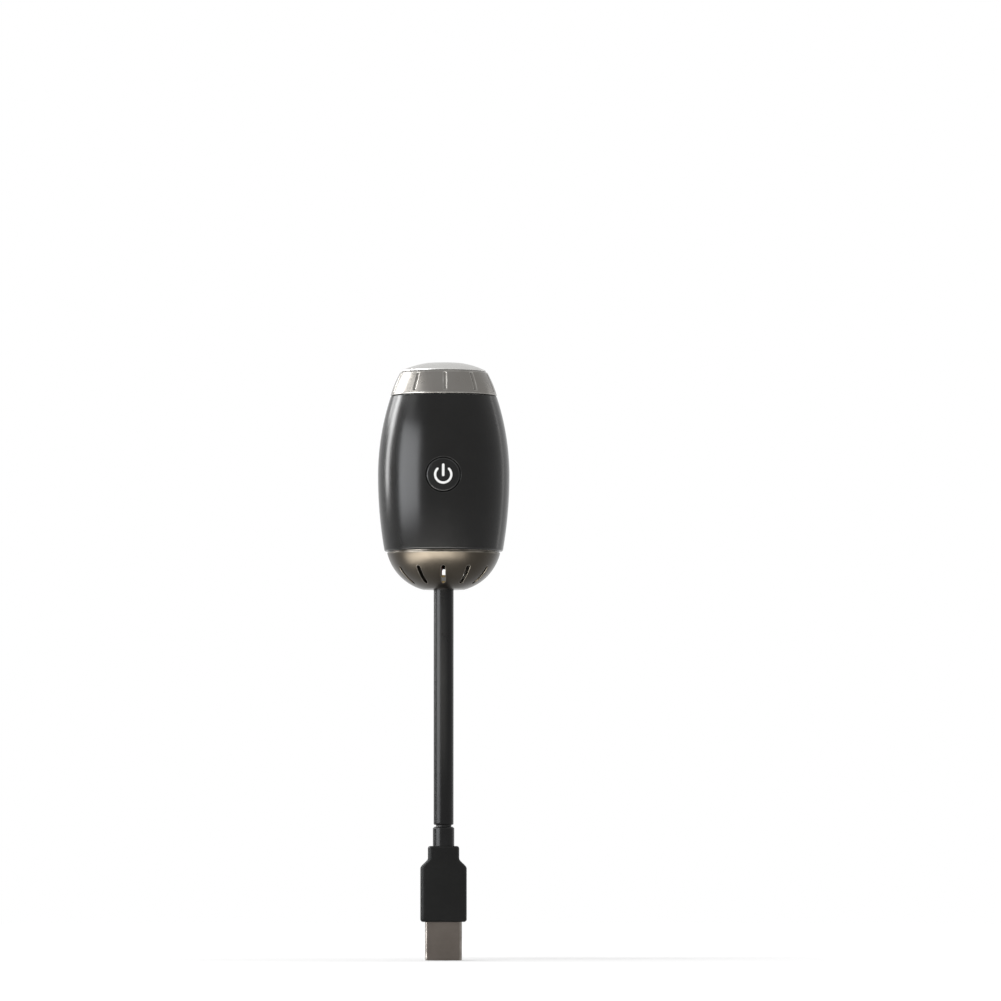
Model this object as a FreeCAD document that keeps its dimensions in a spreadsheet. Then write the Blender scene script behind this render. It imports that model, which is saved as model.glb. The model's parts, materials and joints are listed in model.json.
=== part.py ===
import FreeCAD, Part
import math
import os
import Sketcher

# Planetarium projector on a bendable neck with a plug at its foot.
# Millimetres, +Z up. The origin is the middle of the plug's shoulder, the flat face that the
# metal plug stands out of. The button faces -Y, and the light leaves along +Z.

doc = FreeCAD.newDocument("PlanetariumProjector")

# Driving sizes: alias, number, meaning

SIZES = [
    ("plug_width", 12.0, "metal plug, across its wide face"),
    ("plug_height", 4.5, "metal plug, through its thin side"),
    ("plug_reach", 12.5, "metal plug standing out of the shoulder"),
    ("plug_rooted", 6.0, "metal plug held inside the overmould"),
    ("plug_wall", 0.3, "sheet thickness of the metal plug"),
    ("plug_corner", 0.8, "outer corner radius of the metal plug"),
    ("latch_side", 2.2, "side of a latch window"),
    ("latch_offset", 2.75, "latch window from the middle of the plug"),
    ("latch_from_mouth", 5.2, "latch window from the plug's mouth"),
    ("tongue_thickness", 1.85, "insulating tongue inside the plug"),
    ("tongue_setback", 0.5, "tongue behind the plug's mouth"),
    ("tongue_side_gap", 0.2, "gap beside the tongue"),
    ("insulator_front", 1.5, "insulator block ahead of the shoulder"),
    ("contact_width", 1.0, "contact strip, across"),
    ("contact_thickness", 0.2, "contact strip, through"),
    ("contact_inner", 1.0, "inner contact from the middle"),
    ("contact_outer", 3.5, "outer contact from the middle"),
    ("contact_setback", 0.6, "contact behind the tongue's tip"),
    ("contact_tail", 2.0, "solder tail behind the insulator"),
    ("mould_width", 15.1, "overmould, across"),
    ("mould_thickness", 8.0, "overmould, through"),
    ("mould_straight", 17.4, "height of the wide part of the overmould"),
    ("mould_slope", 3.4, "height of the S-curved shoulders"),
    ("mould_top_width", 10.2, "overmould above its shoulders, across"),
    ("mould_length", 24.7, "height of the overmould"),
    ("mould_edge", 1.5, "rounding of the overmould's long edges"),
    ("mould_foot_edge", 0.6, "rounding of the overmould's foot"),
    ("solder_room_width", 9.6, "space for the solder joints, across"),
    ("solder_room_depth", 3.6, "space for the solder joints, through"),
    ("solder_room_height", 4.5, "space for the solder joints, height"),
    ("collar_radius", 3.5, "collar at the foot of the neck"),
    ("collar_length", 6.3, "collar above the overmould"),
    ("collar_chamfer", 0.5, "chamfer on the collar's top edge"),
    ("collar_root_radius", 3.1, "collar's root inside the overmould"),
    ("collar_root", 4.7, "length of the collar's root"),
    ("collar_gap", 0.6, "groove between collar and sleeve"),
    ("core_radius", 2.6, "bendable metal core of the neck"),
    ("core_bore", 1.6, "radius of the bore in the core"),
    ("sleeve_radius", 3.25, "black sleeve of the neck"),
    ("sleeve_clearance", 0.15, "sleeve bore over the core"),
    ("sleeve_edge", 0.4, "rounding of the sleeve's free end"),
    ("neck_length", 76.8, "sleeve from its free end to the head"),
    ("foot_pivot", 2.4, "lowest bend above the sleeve's free end"),
    ("head_pivot", 4.0, "highest bend below the head"),
    ("ball_radius", 3.75, "round end of each sleeve length"),
    ("ball_gap", 0.15, "gap between two round ends"),
    ("lead_radius", 0.5, "power lead"),
    ("lead_distance", 1.05, "power lead from the neck's axis"),
    ("cap_height", 12.0, "base cap from the head's foot to its rim"),
    ("cap_foot_radius", 6.9, "flat foot of the base cap"),
    ("cap_rim_radius", 18.5, "rim of the base cap"),
    ("cap_curve", 16.46, "radius of the base cap's bowl"),
    ("cap_wall", 1.5, "wall of the base cap"),
    ("floor_thickness", 1.6, "floor of the base cap"),
    ("seat_width", 1.0, "ledge that carries the shell"),
    ("seam_gap", 0.4, "shadow gap between base cap and shell"),
    ("spigot_radius", 16.6, "spigot of the base cap inside the shell"),
    ("spigot_wall", 1.4, "wall of the spigot"),
    ("spigot_height", 3.6, "spigot above the base cap's rim"),
    ("bead_height", 0.35, "snap bead on the spigot"),
    ("vent_width", 1.3, "vent slot, across"),
    ("vent_low", 1.7, "foot of a vent slot above the head's foot"),
    ("vent_high", 7.3, "top of a vent slot above the head's foot"),
    ("vent_root", 9.2, "radius where a vent slot starts"),
    ("shell_height", 50.6, "barrel shell"),
    ("head_radius", 21.5, "widest radius of the barrel shell"),
    ("waist_height", 24.7, "widest place above the shell's lower edge"),
    ("shell_foot_radius", 19.3, "lower edge of the barrel shell"),
    ("shell_top_radius", 17.35, "upper edge of the barrel shell"),
    ("shell_wall", 1.8, "wall of the barrel shell"),
    ("shell_foot_edge", 0.7, "rounding of the shell's lower edge"),
    ("shell_lip", 1.8, "flange at the shell's top"),
    ("snap_clearance", 0.1, "shell bore over the spigot"),
    ("button_height", 24.1, "button's middle above the shell's lower edge"),
    ("button_radius", 5.5, "power button"),
    ("button_gap", 0.2, "gap round the power button"),
    ("button_proud", 0.1, "power button standing out of the shell"),
    ("button_edge", 0.55, "chamfer round the power button"),
    ("button_flange_radius", 6.6, "flange that keeps the button in"),
    ("button_flange_play", 0.26, "button's flange behind the shell's wall"),
    ("button_flange_thickness", 0.8, "flange of the button"),
    ("button_travel", 0.6, "travel of the button"),
    ("washer_thickness", 0.15, "thrust washer under the focus ring"),
    ("washer_inner", 13.6, "thrust washer, inner radius"),
    ("washer_outer", 16.2, "thrust washer, outer radius"),
    ("running_gap", 0.1, "gap beside a turning face"),
    ("ring_height", 7.75, "focus ring above the shell"),
    ("ring_top_radius", 14.6, "upper edge of the focus ring"),
    ("ring_curve", 34.0, "bulge radius of the focus ring"),
    ("ring_wall", 1.6, "outer wall of the focus ring"),
    ("ring_roof", 3.0, "solid top of the focus ring"),
    ("ring_edge", 0.7, "chamfer on the ring's upper edge"),
    ("skirt_radius", 13.0, "ring's skirt inside the shell, outside"),
    ("skirt_clearance", 0.3, "shell's top hole over the skirt"),
    ("skirt_depth", 9.65, "ring's skirt below the ring's outer wall"),
    ("grip_radius", 1.1, "cutter of a grip groove"),
    ("grip_depth", 0.4, "depth of a grip groove"),
    ("grip_low", 1.4, "foot of a grip groove above the ring's lower edge"),
    ("grip_high", 6.85, "top of a grip groove above the ring's lower edge"),
    ("bezel_height", 2.8, "top bezel"),
    ("bezel_radius", 13.75, "top bezel, outside"),
    ("bezel_rim", 0.35, "upright edge of the top bezel"),
    ("bezel_flat_radius", 6.6, "flat top of the bezel"),
    ("bezel_curve", 24.0, "bulge radius of the bezel"),
    ("aperture_radius", 5.6, "hole that the light leaves through"),
    ("bezel_spigot", 1.9, "bezel's spigot inside the optics tube"),
    ("bezel_spigot_wall", 2.0, "wall of the bezel's spigot"),
    ("window_radius", 6.4, "clear front window"),
    ("window_thickness", 1.0, "thickness of the front window"),
    ("window_lip", 0.8, "bezel above the front window"),
    ("post_radius", 2.2, "screw post in the base cap"),
    ("post_offset", 8.9, "screw post from each axis"),
    ("post_height", 17.6, "top of the screw posts above the head's foot"),
    ("screw_radius", 1.0, "shank of every screw"),
    ("screw_head_radius", 1.8, "head of every screw"),
    ("screw_head", 1.2, "height of a screw head"),
    ("post_screw_bite", 6.0, "screw inside its post"),
    ("sink_radius", 16.2, "plate of the heat sink"),
    ("sink_plate", 2.5, "thickness of the heat sink's plate"),
    ("fin_height", 7.0, "fins of the heat sink"),
    ("fin_thickness", 0.9, "thickness of a fin"),
    ("fin_pitch", 2.0, "fin to fin"),
    ("fin_half_length", 9.0, "half the length of a fin"),
    ("notch_half_width", 4.75, "cable notch, half its width"),
    ("notch_start", 12.0, "cable notch in the heat sink, from the axis"),
    ("led_board_radius", 9.0, "light board"),
    ("led_board_thickness", 1.6, "thickness of the light board"),
    ("led_tab_half_width", 2.5, "connecting tab of the light board"),
    ("led_tab_reach", 13.8, "connecting tab from the axis"),
    ("led_base_radius", 2.6, "base of the light source"),
    ("led_base_height", 0.9, "height of that base"),
    ("led_dome_radius", 2.2, "dome of the light source"),
    ("flange_thickness", 2.5, "flange of the optics tube"),
    ("tube_radius", 10.5, "optics tube, outside"),
    ("tube_wall", 1.0, "wall of the optics tube"),
    ("fit_clearance", 0.1, "fit of a piece inside the optics tube"),
    ("seat_bore", 8.6, "bore under the condenser"),
    ("condenser_level", 5.8, "condenser above the tube's flange"),
    ("condenser_edge", 1.5, "edge of the condenser"),
    ("condenser_face", 8.5, "radius of the condenser's curved face"),
    ("condenser_curve", 11.0, "curvature of the condenser"),
    ("spacer_length", 9.7, "spacer between condenser and slide"),
    ("spacer_wall", 0.8, "wall of the spacer"),
    ("holder_thickness", 2.2, "slide holder"),
    ("picture_radius", 5.5, "clear picture area"),
    ("slide_radius", 6.2, "film slide"),
    ("slide_thickness", 0.4, "thickness of the film slide"),
    ("retainer_thickness", 1.0, "retaining ring over the slide"),
    ("cam_below_top", 2.4, "lens pins below the shell's top, at rest"),
    ("cam_lead", 9.0, "rise of the cam grooves in a full turn"),
    ("cam_swing", 60.0, "turn of the focus ring to each side, degrees"),
    ("cam_spare", 8.0, "spare length of a cam groove, degrees"),
    ("cam_depth_radius", 12.2, "bottom of the cam grooves"),
    ("pin_radius", 0.8, "lens pin"),
    ("pin_root_radius", 7.4, "inner end of a lens pin from the axis"),
    ("pin_tip_radius", 11.95, "outer end of a lens pin from the axis"),
    ("pin_clearance", 0.1, "groove and slot beside a pin"),
    ("slot_spare", 0.3, "guide slot beyond the pin's travel"),
    ("ring_bore_clearance", 0.1, "focus ring over the optics tube"),
    ("barrel_below_pin", 4.0, "lens barrel below its pins"),
    ("barrel_above_pin", 6.5, "lens barrel above its pins"),
    ("lens_above_pin", 2.0, "lens seat above the pins"),
    ("lens_radius", 7.6, "projection lens"),
    ("lens_edge", 1.6, "edge of the projection lens"),
    ("lens_face", 7.0, "radius of the lens's curved faces"),
    ("lens_curve", 16.0, "curvature of the lens"),
    ("lens_retainer_height", 1.4, "ring that holds the lens"),
    ("drag_ring_radius", 0.3, "section of the drag ring"),
    ("drag_below_top", 3.1, "drag ring below the tube's top"),
    ("drag_groove", 0.55, "depth of the drag ring's groove"),
    ("clamp_length", 17.6, "clamp plate over the neck's ferrule"),
    ("clamp_width", 8.4, "clamp plate, across"),
    ("clamp_thickness", 1.2, "thickness of the clamp plate"),
    ("clamp_screw_offset", 7.2, "clamp screw from the axis"),
    ("ferrule_radius", 3.4, "ferrule on the core's upper end"),
    ("ferrule_flange_radius", 5.0, "flange of the ferrule"),
    ("ferrule_flange", 1.0, "thickness of that flange"),
    ("ferrule_height", 3.0, "whole ferrule"),
    ("boss_radius", 2.0, "clamp screw boss"),
    ("clamp_screw_bite", 1.8, "clamp screw inside its boss"),
    ("circuit_front", 12.6, "front of the circuit board from the axis"),
    ("circuit_thickness", 1.2, "circuit board"),
    ("circuit_width", 18.0, "circuit board, across"),
    ("circuit_margin", 1.0, "circuit board above its coil"),
    ("circuit_lift", 4.0, "circuit board above the tube's flange"),
    ("rail_wall", 0.9, "wall of a board rail beside its groove"),
    ("rail_bite", 0.6, "circuit board inside its rails"),
    ("switch_side", 6.0, "push switch, across"),
    ("switch_share", 0.7143, "push switch's part of the room between board and button"),
    ("plunger_radius", 1.6, "plunger of the push switch"),
    ("plunger_root", 0.8, "plunger inside the push switch"),
    ("plunger_clearance", 0.15, "hole over the plunger"),
    ("chip_width", 5.0, "driver chip, across"),
    ("chip_depth", 1.6, "driver chip, through"),
    ("chip_height", 4.0, "driver chip, height"),
    ("chip_drop", 1.0, "driver chip below the push switch"),
    ("coil_radius", 2.6, "driver coil"),
    ("coil_share", 0.5714, "driver coil's part of the room between board and button"),
    ("coil_lift", 1.8, "driver coil above the push switch"),
    ("capacitor_width", 1.6, "capacitor, across"),
    ("capacitor_depth", 1.0, "capacitor, through"),
    ("capacitor_height", 2.8, "capacitor, height"),
    ("capacitor_distance", 6.0, "capacitor from the middle"),
    ("led_lead_radius", 0.4, "lead of the light board"),
    ("led_lead_distance", 1.2, "lead of the light board from the middle"),
    ("lead_rise", 6.2, "head lead, from the core's end to its first bend"),
    ("lead_side", 3.6, "head lead beside the circuit board's middle"),
    ("lead_climb", 1.4, "rise of the head lead below the fins"),
    ("lead_landing", 2.0, "head lead on the circuit board"),
]

JOINTS_IN_NECK = 12
VENTS = 12
GRIPS = 10
LENS_PINS = 3
FINS_EACH_SIDE = 3
FIRST_PIN_ANGLE = 90

sheet = doc.addObject("Spreadsheet::Sheet", "Sizes")
for row, (alias, number, meaning) in enumerate(SIZES, start=1):
    sheet.set(f"A{row}", alias)
    sheet.set(f"B{row}", str(number))
    sheet.set(f"C{row}", meaning)
    sheet.setAlias(f"B{row}", alias)
doc.recompute()


class Measure:
    """A size of the sheet, or one worked out from it: its expression and its present value."""

    def __init__(self, text, value):
        self.text = text
        self.value = value

    def __add__(self, other):
        other = measure(other)
        return Measure(f"({self.text} + {other.text})", self.value + other.value)

    def __sub__(self, other):
        other = measure(other)
        return Measure(f"({self.text} - {other.text})", self.value - other.value)

    def __mul__(self, other):
        other = measure(other)
        return Measure(f"({self.text} * {other.text})", self.value * other.value)

    def __truediv__(self, other):
        other = measure(other)
        return Measure(f"({self.text} / {other.text})", self.value / other.value)

    def __neg__(self):
        return measure(0) - self

    def root(self):
        """The square root."""
        return Measure(f"sqrt({self.text})", math.sqrt(self.value))


def measure(number):
    """A plain number as a Measure. A Measure stays as it is."""
    if isinstance(number, Measure):
        return number
    return Measure(f"({float(number):.9f})", float(number))


class Sheet:
    """Gives the size with an alias as a Measure, as in size.head_radius."""

    def __getattr__(self, alias):
        return Measure(f"Sizes.{alias}", float(sheet.get(alias)))


size = Sheet()


def bind(thing, name, value):
    """Ties a property to the sheet."""
    thing.setExpression(name, measure(value).text)


# Sketches and features

class Bend:
    """A side of an outline that is an arc, with its middle to the left or right of the way along.

    A half circle is held by the level of its middle instead of by its radius.
    """

    def __init__(self, radius, side, level=None):
        self.radius = measure(radius)
        self.side = side
        self.level = level


def new_body(name):
    body = doc.addObject("PartDesign::Body", name)
    body.Label = name
    pieces[name] = body
    return body


def origin_feature(body, role):
    for feature in body.Origin.OriginFeatures:
        if feature.Role == role:
            return feature
    raise ValueError(role)


def new_sketch(body, name, role, lift=0):
    """A sketch on one of the body's own planes, lifted along that plane's normal."""
    sketch = body.newObject("Sketcher::SketchObject", f"{body.Name}_{name}")
    sketch.AttachmentSupport = [(origin_feature(body, role), "")]
    sketch.MapMode = "FlatFace"
    bind(sketch, "AttachmentOffset.Base.z", lift)
    return sketch


def arc_between(start, end, radius, side):
    """The shorter arc from start to end, and which of its ends is the start."""
    middle = (start + end) * 0.5
    along = end - start
    half = along.Length / 2
    height = math.sqrt(max(radius * radius - half * half, 0))
    to_left = FreeCAD.Vector(-along.y, along.x, 0).normalize()
    centre = middle + to_left * (height if side == "left" else -height)
    circle = Part.Circle(centre, FreeCAD.Vector(0, 0, 1), radius)
    start_angle = math.atan2(start.y - centre.y, start.x - centre.x)
    end_angle = math.atan2(end.y - centre.y, end.x - centre.x)
    if side == "left":
        return Part.ArcOfCircle(circle, start_angle, end_angle), 1, 2
    return Part.ArcOfCircle(circle, end_angle, start_angle), 2, 1


def place_point(sketch, geometry, point, x, y):
    """Holds a sketch point at x, y. A zero keeps it on the axis."""
    for kind, axis, value in (("DistanceX", -2, x), ("DistanceY", -1, y)):
        value = measure(value)
        if value.text == measure(0).text:
            sketch.addConstraint(Sketcher.Constraint("PointOnObject", geometry, point, axis))
            continue
        index = sketch.addConstraint(
            Sketcher.Constraint(kind, -1, 1, geometry, point, value.value))
        bind(sketch, f"Constraints[{index}]", value)


def outline(sketch, corners):
    """A closed line through the corners. A corner is x, y and, where its next side is an arc, a Bend."""
    spots = [FreeCAD.Vector(measure(corner[0]).value, measure(corner[1]).value, 0)
             for corner in corners]
    sides = []
    for index, corner in enumerate(corners):
        start = spots[index]
        end = spots[(index + 1) % len(corners)]
        if len(corner) == 3:
            bend = corner[2]
            arc, first, last = arc_between(start, end, bend.radius.value, bend.side)
            geometry = sketch.addGeometry(arc, False)
            if bend.level is None:
                hold = Sketcher.Constraint("Radius", geometry, bend.radius.value)
                value = bend.radius
            else:
                hold = Sketcher.Constraint("DistanceY", -1, 1, geometry, 3, bend.level.value)
                value = bend.level
            bind(sketch, f"Constraints[{sketch.addConstraint(hold)}]", value)
        else:
            geometry = sketch.addGeometry(Part.LineSegment(start, end), False)
            first, last = 1, 2
        sides.append((geometry, first, last))
    for index, corner in enumerate(corners):
        geometry, first, last = sides[index]
        following, following_first, _ = sides[(index + 1) % len(corners)]
        sketch.addConstraint(
            Sketcher.Constraint("Coincident", geometry, last, following, following_first))
        place_point(sketch, geometry, first, corner[0], corner[1])


def circle(sketch, x, y, radius):
    radius = measure(radius)
    centre = FreeCAD.Vector(measure(x).value, measure(y).value, 0)
    geometry = sketch.addGeometry(
        Part.Circle(centre, FreeCAD.Vector(0, 0, 1), radius.value), False)
    place_point(sketch, geometry, 3, x, y)
    index = sketch.addConstraint(Sketcher.Constraint("Radius", geometry, radius.value))
    bind(sketch, f"Constraints[{index}]", radius)


def rectangle(low_x, low_y, high_x, high_y):
    return [(low_x, low_y), (high_x, low_y), (high_x, high_y), (low_x, high_y)]


def rounded_rectangle(width, height, corner):
    """Corners of a rectangle round the origin, with arcs at its four corners."""
    x = width / 2
    y = height / 2
    bend = Bend(corner, "left")
    return [
        (-(x - corner), -y), (x - corner, -y, bend),
        (x, -(y - corner)), (x, y - corner, bend),
        (x - corner, y), (-(x - corner), y, bend),
        (-x, y - corner), (-x, -(y - corner), bend),
    ]


def upright_slot(half_width, low, high):
    """Corners of an upright slot with round ends."""
    foot = low + half_width
    top = high - half_width
    return [
        (-half_width, foot, Bend(half_width, "left", foot)), (half_width, foot),
        (half_width, top, Bend(half_width, "left", top)), (-half_width, top),
    ]


def revolve(body, sketch):
    feature = body.newObject("PartDesign::Revolution", f"{sketch.Name}_turned")
    feature.Profile = sketch
    feature.ReferenceAxis = (sketch, ["V_Axis"])
    feature.Angle = 360
    return feature


def groove(body, sketch):
    feature = body.newObject("PartDesign::Groove", f"{sketch.Name}_grooved")
    feature.Profile = sketch
    feature.ReferenceAxis = (sketch, ["V_Axis"])
    feature.Angle = 360
    return feature


def pad(body, sketch, length, symmetric=False):
    """Grows the sketch along its plane's normal: +Z from XY, -Y from XZ, +X from YZ."""
    feature = body.newObject("PartDesign::Pad", f"{sketch.Name}_pad")
    feature.Profile = sketch
    feature.SideType = "Symmetric" if symmetric else "One side"
    bind(feature, "Length", length)
    return feature


def pocket(body, sketch, length, along_normal=True, symmetric=False):
    """Cuts the sketch along its plane's normal, or the other way."""
    feature = body.newObject("PartDesign::Pocket", f"{sketch.Name}_pocket")
    feature.Profile = sketch
    feature.SideType = "Symmetric" if symmetric else "One side"
    feature.Reversed = along_normal
    bind(feature, "Length", length)
    return feature


def round_the_axis(body, feature, count):
    """Repeats a feature round the Z axis."""
    pattern = body.newObject("PartDesign::PolarPattern", f"{feature.Name}_pattern")
    pattern.Originals = [feature]
    pattern.Axis = (origin_feature(body, "Z_Axis"), [""])
    pattern.Angle = 360
    pattern.Occurrences = count
    body.Tip = pattern
    return pattern


def edge_names(feature, wanted):
    """The names of the feature's edges that the test wants."""
    doc.recompute()
    names = [f"Edge{number}" for number, edge in enumerate(feature.Shape.Edges, start=1)
             if wanted(edge)]
    if not names:
        raise ValueError(f"no edge to finish on {feature.Name}")
    return names


def fillet(body, feature, wanted, radius):
    rounding = body.newObject("PartDesign::Fillet", f"{feature.Name}_fillet")
    rounding.Base = (feature, edge_names(feature, wanted))
    bind(rounding, "Radius", radius)
    return rounding


def chamfer(body, feature, wanted, width):
    cut = body.newObject("PartDesign::Chamfer", f"{feature.Name}_chamfer")
    cut.Base = (feature, edge_names(feature, wanted))
    bind(cut, "Size", width)
    return cut


def turned(name, corners):
    """A body of revolution round Z. Its outline is given as radius, height."""
    body = new_body(name)
    sketch = new_sketch(body, "profile", "XZ_Plane")
    outline(sketch, corners)
    revolve(body, sketch)
    return body


def cylinder(name, radius, height, x, y, z, axis=(0, 0, 1), angle=0):
    """A round bar from x, y, z along +Z, or turned from there about an axis."""
    bar = doc.addObject("Part::Cylinder", name)
    bar.Placement = FreeCAD.Placement(
        FreeCAD.Vector(0, 0, 0), FreeCAD.Rotation(FreeCAD.Vector(*axis), angle))
    bind(bar, "Radius", radius)
    bind(bar, "Height", height)
    for direction, value in (("x", x), ("y", y), ("z", z)):
        bind(bar, f"Placement.Base.{direction}", value)
    return bar


def block(name, width, depth, height, x, y, z):
    """A box from its lowest corner."""
    box = doc.addObject("Part::Box", name)
    bind(box, "Length", width)
    bind(box, "Width", depth)
    bind(box, "Height", height)
    for direction, value in (("x", x), ("y", y), ("z", z)):
        bind(box, f"Placement.Base.{direction}", value)
    return box


def fuse(name, parts):
    whole = doc.addObject("Part::MultiFuse", name)
    whole.Shapes = parts
    return whole


def cut(name, base, tool):
    whole = doc.addObject("Part::Cut", name)
    whole.Base = base
    whole.Tool = tool
    return whole


def group(name, parts):
    """Separate solids in one node."""
    whole = doc.addObject("Part::Compound", name)
    whole.Links = parts
    return keep(whole, name)


def keep(whole, name):
    whole.Label = name
    pieces[name] = whole
    return whole


pieces = {}

# Levels along the axis, from the plug up

collar_top = size.mould_length + size.collar_length
sleeve_foot = collar_top + size.collar_gap
head_foot = sleeve_foot + size.neck_length
floor_top = head_foot + size.floor_thickness
core_top = floor_top + size.ferrule_flange
clamp_foot = floor_top + size.ferrule_flange
clamp_top = clamp_foot + size.clamp_thickness
cap_rim = head_foot + size.cap_height
shell_foot = cap_rim + size.seam_gap
shell_top = shell_foot + size.shell_height
waist = shell_foot + size.waist_height
button_level = shell_foot + size.button_height
ring_foot = shell_top + size.washer_thickness + size.running_gap
ring_top = ring_foot + size.ring_height
tube_top = ring_top + size.running_gap
bezel_top = tube_top + size.bezel_height
sink_foot = head_foot + size.post_height
sink_top = sink_foot + size.sink_plate
led_board_top = sink_top + size.led_board_thickness
flange_top = sink_top + size.flange_thickness
condenser_seat = flange_top + size.condenser_level
spacer_foot = condenser_seat + size.condenser_edge
holder_foot = spacer_foot + size.spacer_length
holder_top = holder_foot + size.holder_thickness
cam_level = shell_top - size.cam_below_top
circuit_foot = flange_top + size.circuit_lift
coil_level = button_level + size.switch_side / 2 + size.coil_lift + size.coil_radius
circuit_top = coil_level + size.coil_radius + size.circuit_margin
focus_travel = size.cam_lead * size.cam_swing / 360

tube_bore = size.tube_radius - size.tube_wall
inner_fit = tube_bore - size.fit_clearance
ring_bore = size.tube_radius + size.ring_bore_clearance
shell_hole = size.skirt_radius + size.skirt_clearance
sleeve_bore = size.core_radius + size.sleeve_clearance
shell_inside = size.head_radius - size.shell_wall
flange_reach = size.button_flange_radius * size.button_flange_radius
flange_front = (shell_inside * shell_inside - flange_reach).root() - size.button_flange_play
plunger_tip = flange_front - size.button_flange_thickness
switch_depth = (plunger_tip - size.circuit_front) * size.switch_share
switch_front = size.circuit_front + switch_depth
coil_depth = (plunger_tip - size.circuit_front) * size.coil_share


# The barrel: two arcs that meet upright at the widest place

def barrel_radius(end_radius, height):
    """Radius of the arc that is upright at the widest place and has end_radius at that height."""
    inset = size.head_radius - end_radius
    return (inset * inset + height * height) / (inset * 2)


lower_curve = barrel_radius(size.shell_foot_radius, size.waist_height)
upper_curve = barrel_radius(size.shell_top_radius, size.shell_height - size.waist_height)


def on_barrel(curve, level, offset):
    """Radius of the barrel at a level, moved outwards by offset."""
    reach = curve + offset
    rise = level - waist
    return size.head_radius - curve + (reach * reach - rise * rise).root()


# The bowl of the base cap: one arc from its flat foot to its rim

def arc_centre(start_x, start_y, end_x, end_y, radius):
    """Middle of the arc that passes from start to end with its middle on the left."""
    across = end_x - start_x
    up = end_y - start_y
    chord = (across * across + up * up).root()
    height = (radius * radius - chord * chord / 4).root()
    x = (start_x + end_x) / 2 - up / chord * height
    y = (start_y + end_y) / 2 + across / chord * height
    return x, y


bowl_x, bowl_y = arc_centre(
    size.cap_foot_radius, head_foot, size.cap_rim_radius, cap_rim, size.cap_curve)


def on_bowl(level, offset):
    """Radius of the bowl at a level, moved outwards by offset."""
    reach = size.cap_curve + offset
    drop = level - bowl_y
    return bowl_x + (reach * reach - drop * drop).root()


# Plug

def plug_shell():
    body = new_body("plug_shell")
    section = new_sketch(body, "section", "XY_Plane", -size.plug_reach)
    outline(section, rounded_rectangle(size.plug_width, size.plug_height, size.plug_corner))
    bore = size.plug_wall * 2
    outline(section, rounded_rectangle(
        size.plug_width - bore, size.plug_height - bore, size.plug_corner - size.plug_wall))
    pad(body, section, size.plug_reach + size.plug_rooted)
    windows = new_sketch(body, "latch_windows", "XZ_Plane")
    middle = size.latch_from_mouth - size.plug_reach
    half = size.latch_side / 2
    for x in (-size.latch_offset, size.latch_offset):
        outline(windows, rectangle(x - half, middle - half, x + half, middle + half))
    pocket(body, windows, size.plug_height, along_normal=False)


tongue_face = size.plug_wall - size.plug_height / 2 + size.tongue_thickness
contact_foot = size.tongue_setback + size.contact_setback - size.plug_reach
contact_tip = size.plug_rooted + size.contact_tail


def contact_places():
    return (-size.contact_outer, -size.contact_inner, size.contact_inner, size.contact_outer)


def plug_tongue():
    body = new_body("plug_tongue")
    bore = size.plug_wall * 2
    section = new_sketch(body, "block", "XY_Plane", -size.insulator_front)
    outline(section, rounded_rectangle(
        size.plug_width - bore, size.plug_height - bore, size.plug_corner - size.plug_wall))
    pad(body, section, size.insulator_front + size.plug_rooted)
    tongue = new_sketch(body, "tongue", "XY_Plane", size.tongue_setback - size.plug_reach)
    reach = size.plug_width / 2 - size.plug_wall - size.tongue_side_gap - size.plug_corner / 2
    outline(tongue, rectangle(
        -reach, size.plug_wall - size.plug_height / 2, reach, tongue_face))
    pad(body, tongue, size.plug_reach - size.tongue_setback)
    beds = new_sketch(body, "contact_beds", "XY_Plane", contact_foot)
    half = size.contact_width / 2
    sunk = size.contact_thickness / 2
    for x in contact_places():
        outline(beds, rectangle(x - half, tongue_face - sunk, x + half, tongue_face + sunk))
    pocket(body, beds, contact_tip - contact_foot)


def plug_contacts():
    strips = []
    for number, x in enumerate(contact_places(), start=1):
        strips.append(block(
            f"contact_{number}", size.contact_width, size.contact_thickness,
            contact_tip - contact_foot,
            x - size.contact_width / 2, tongue_face - size.contact_thickness / 2, contact_foot))
    group("plug_contacts", strips)


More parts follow.
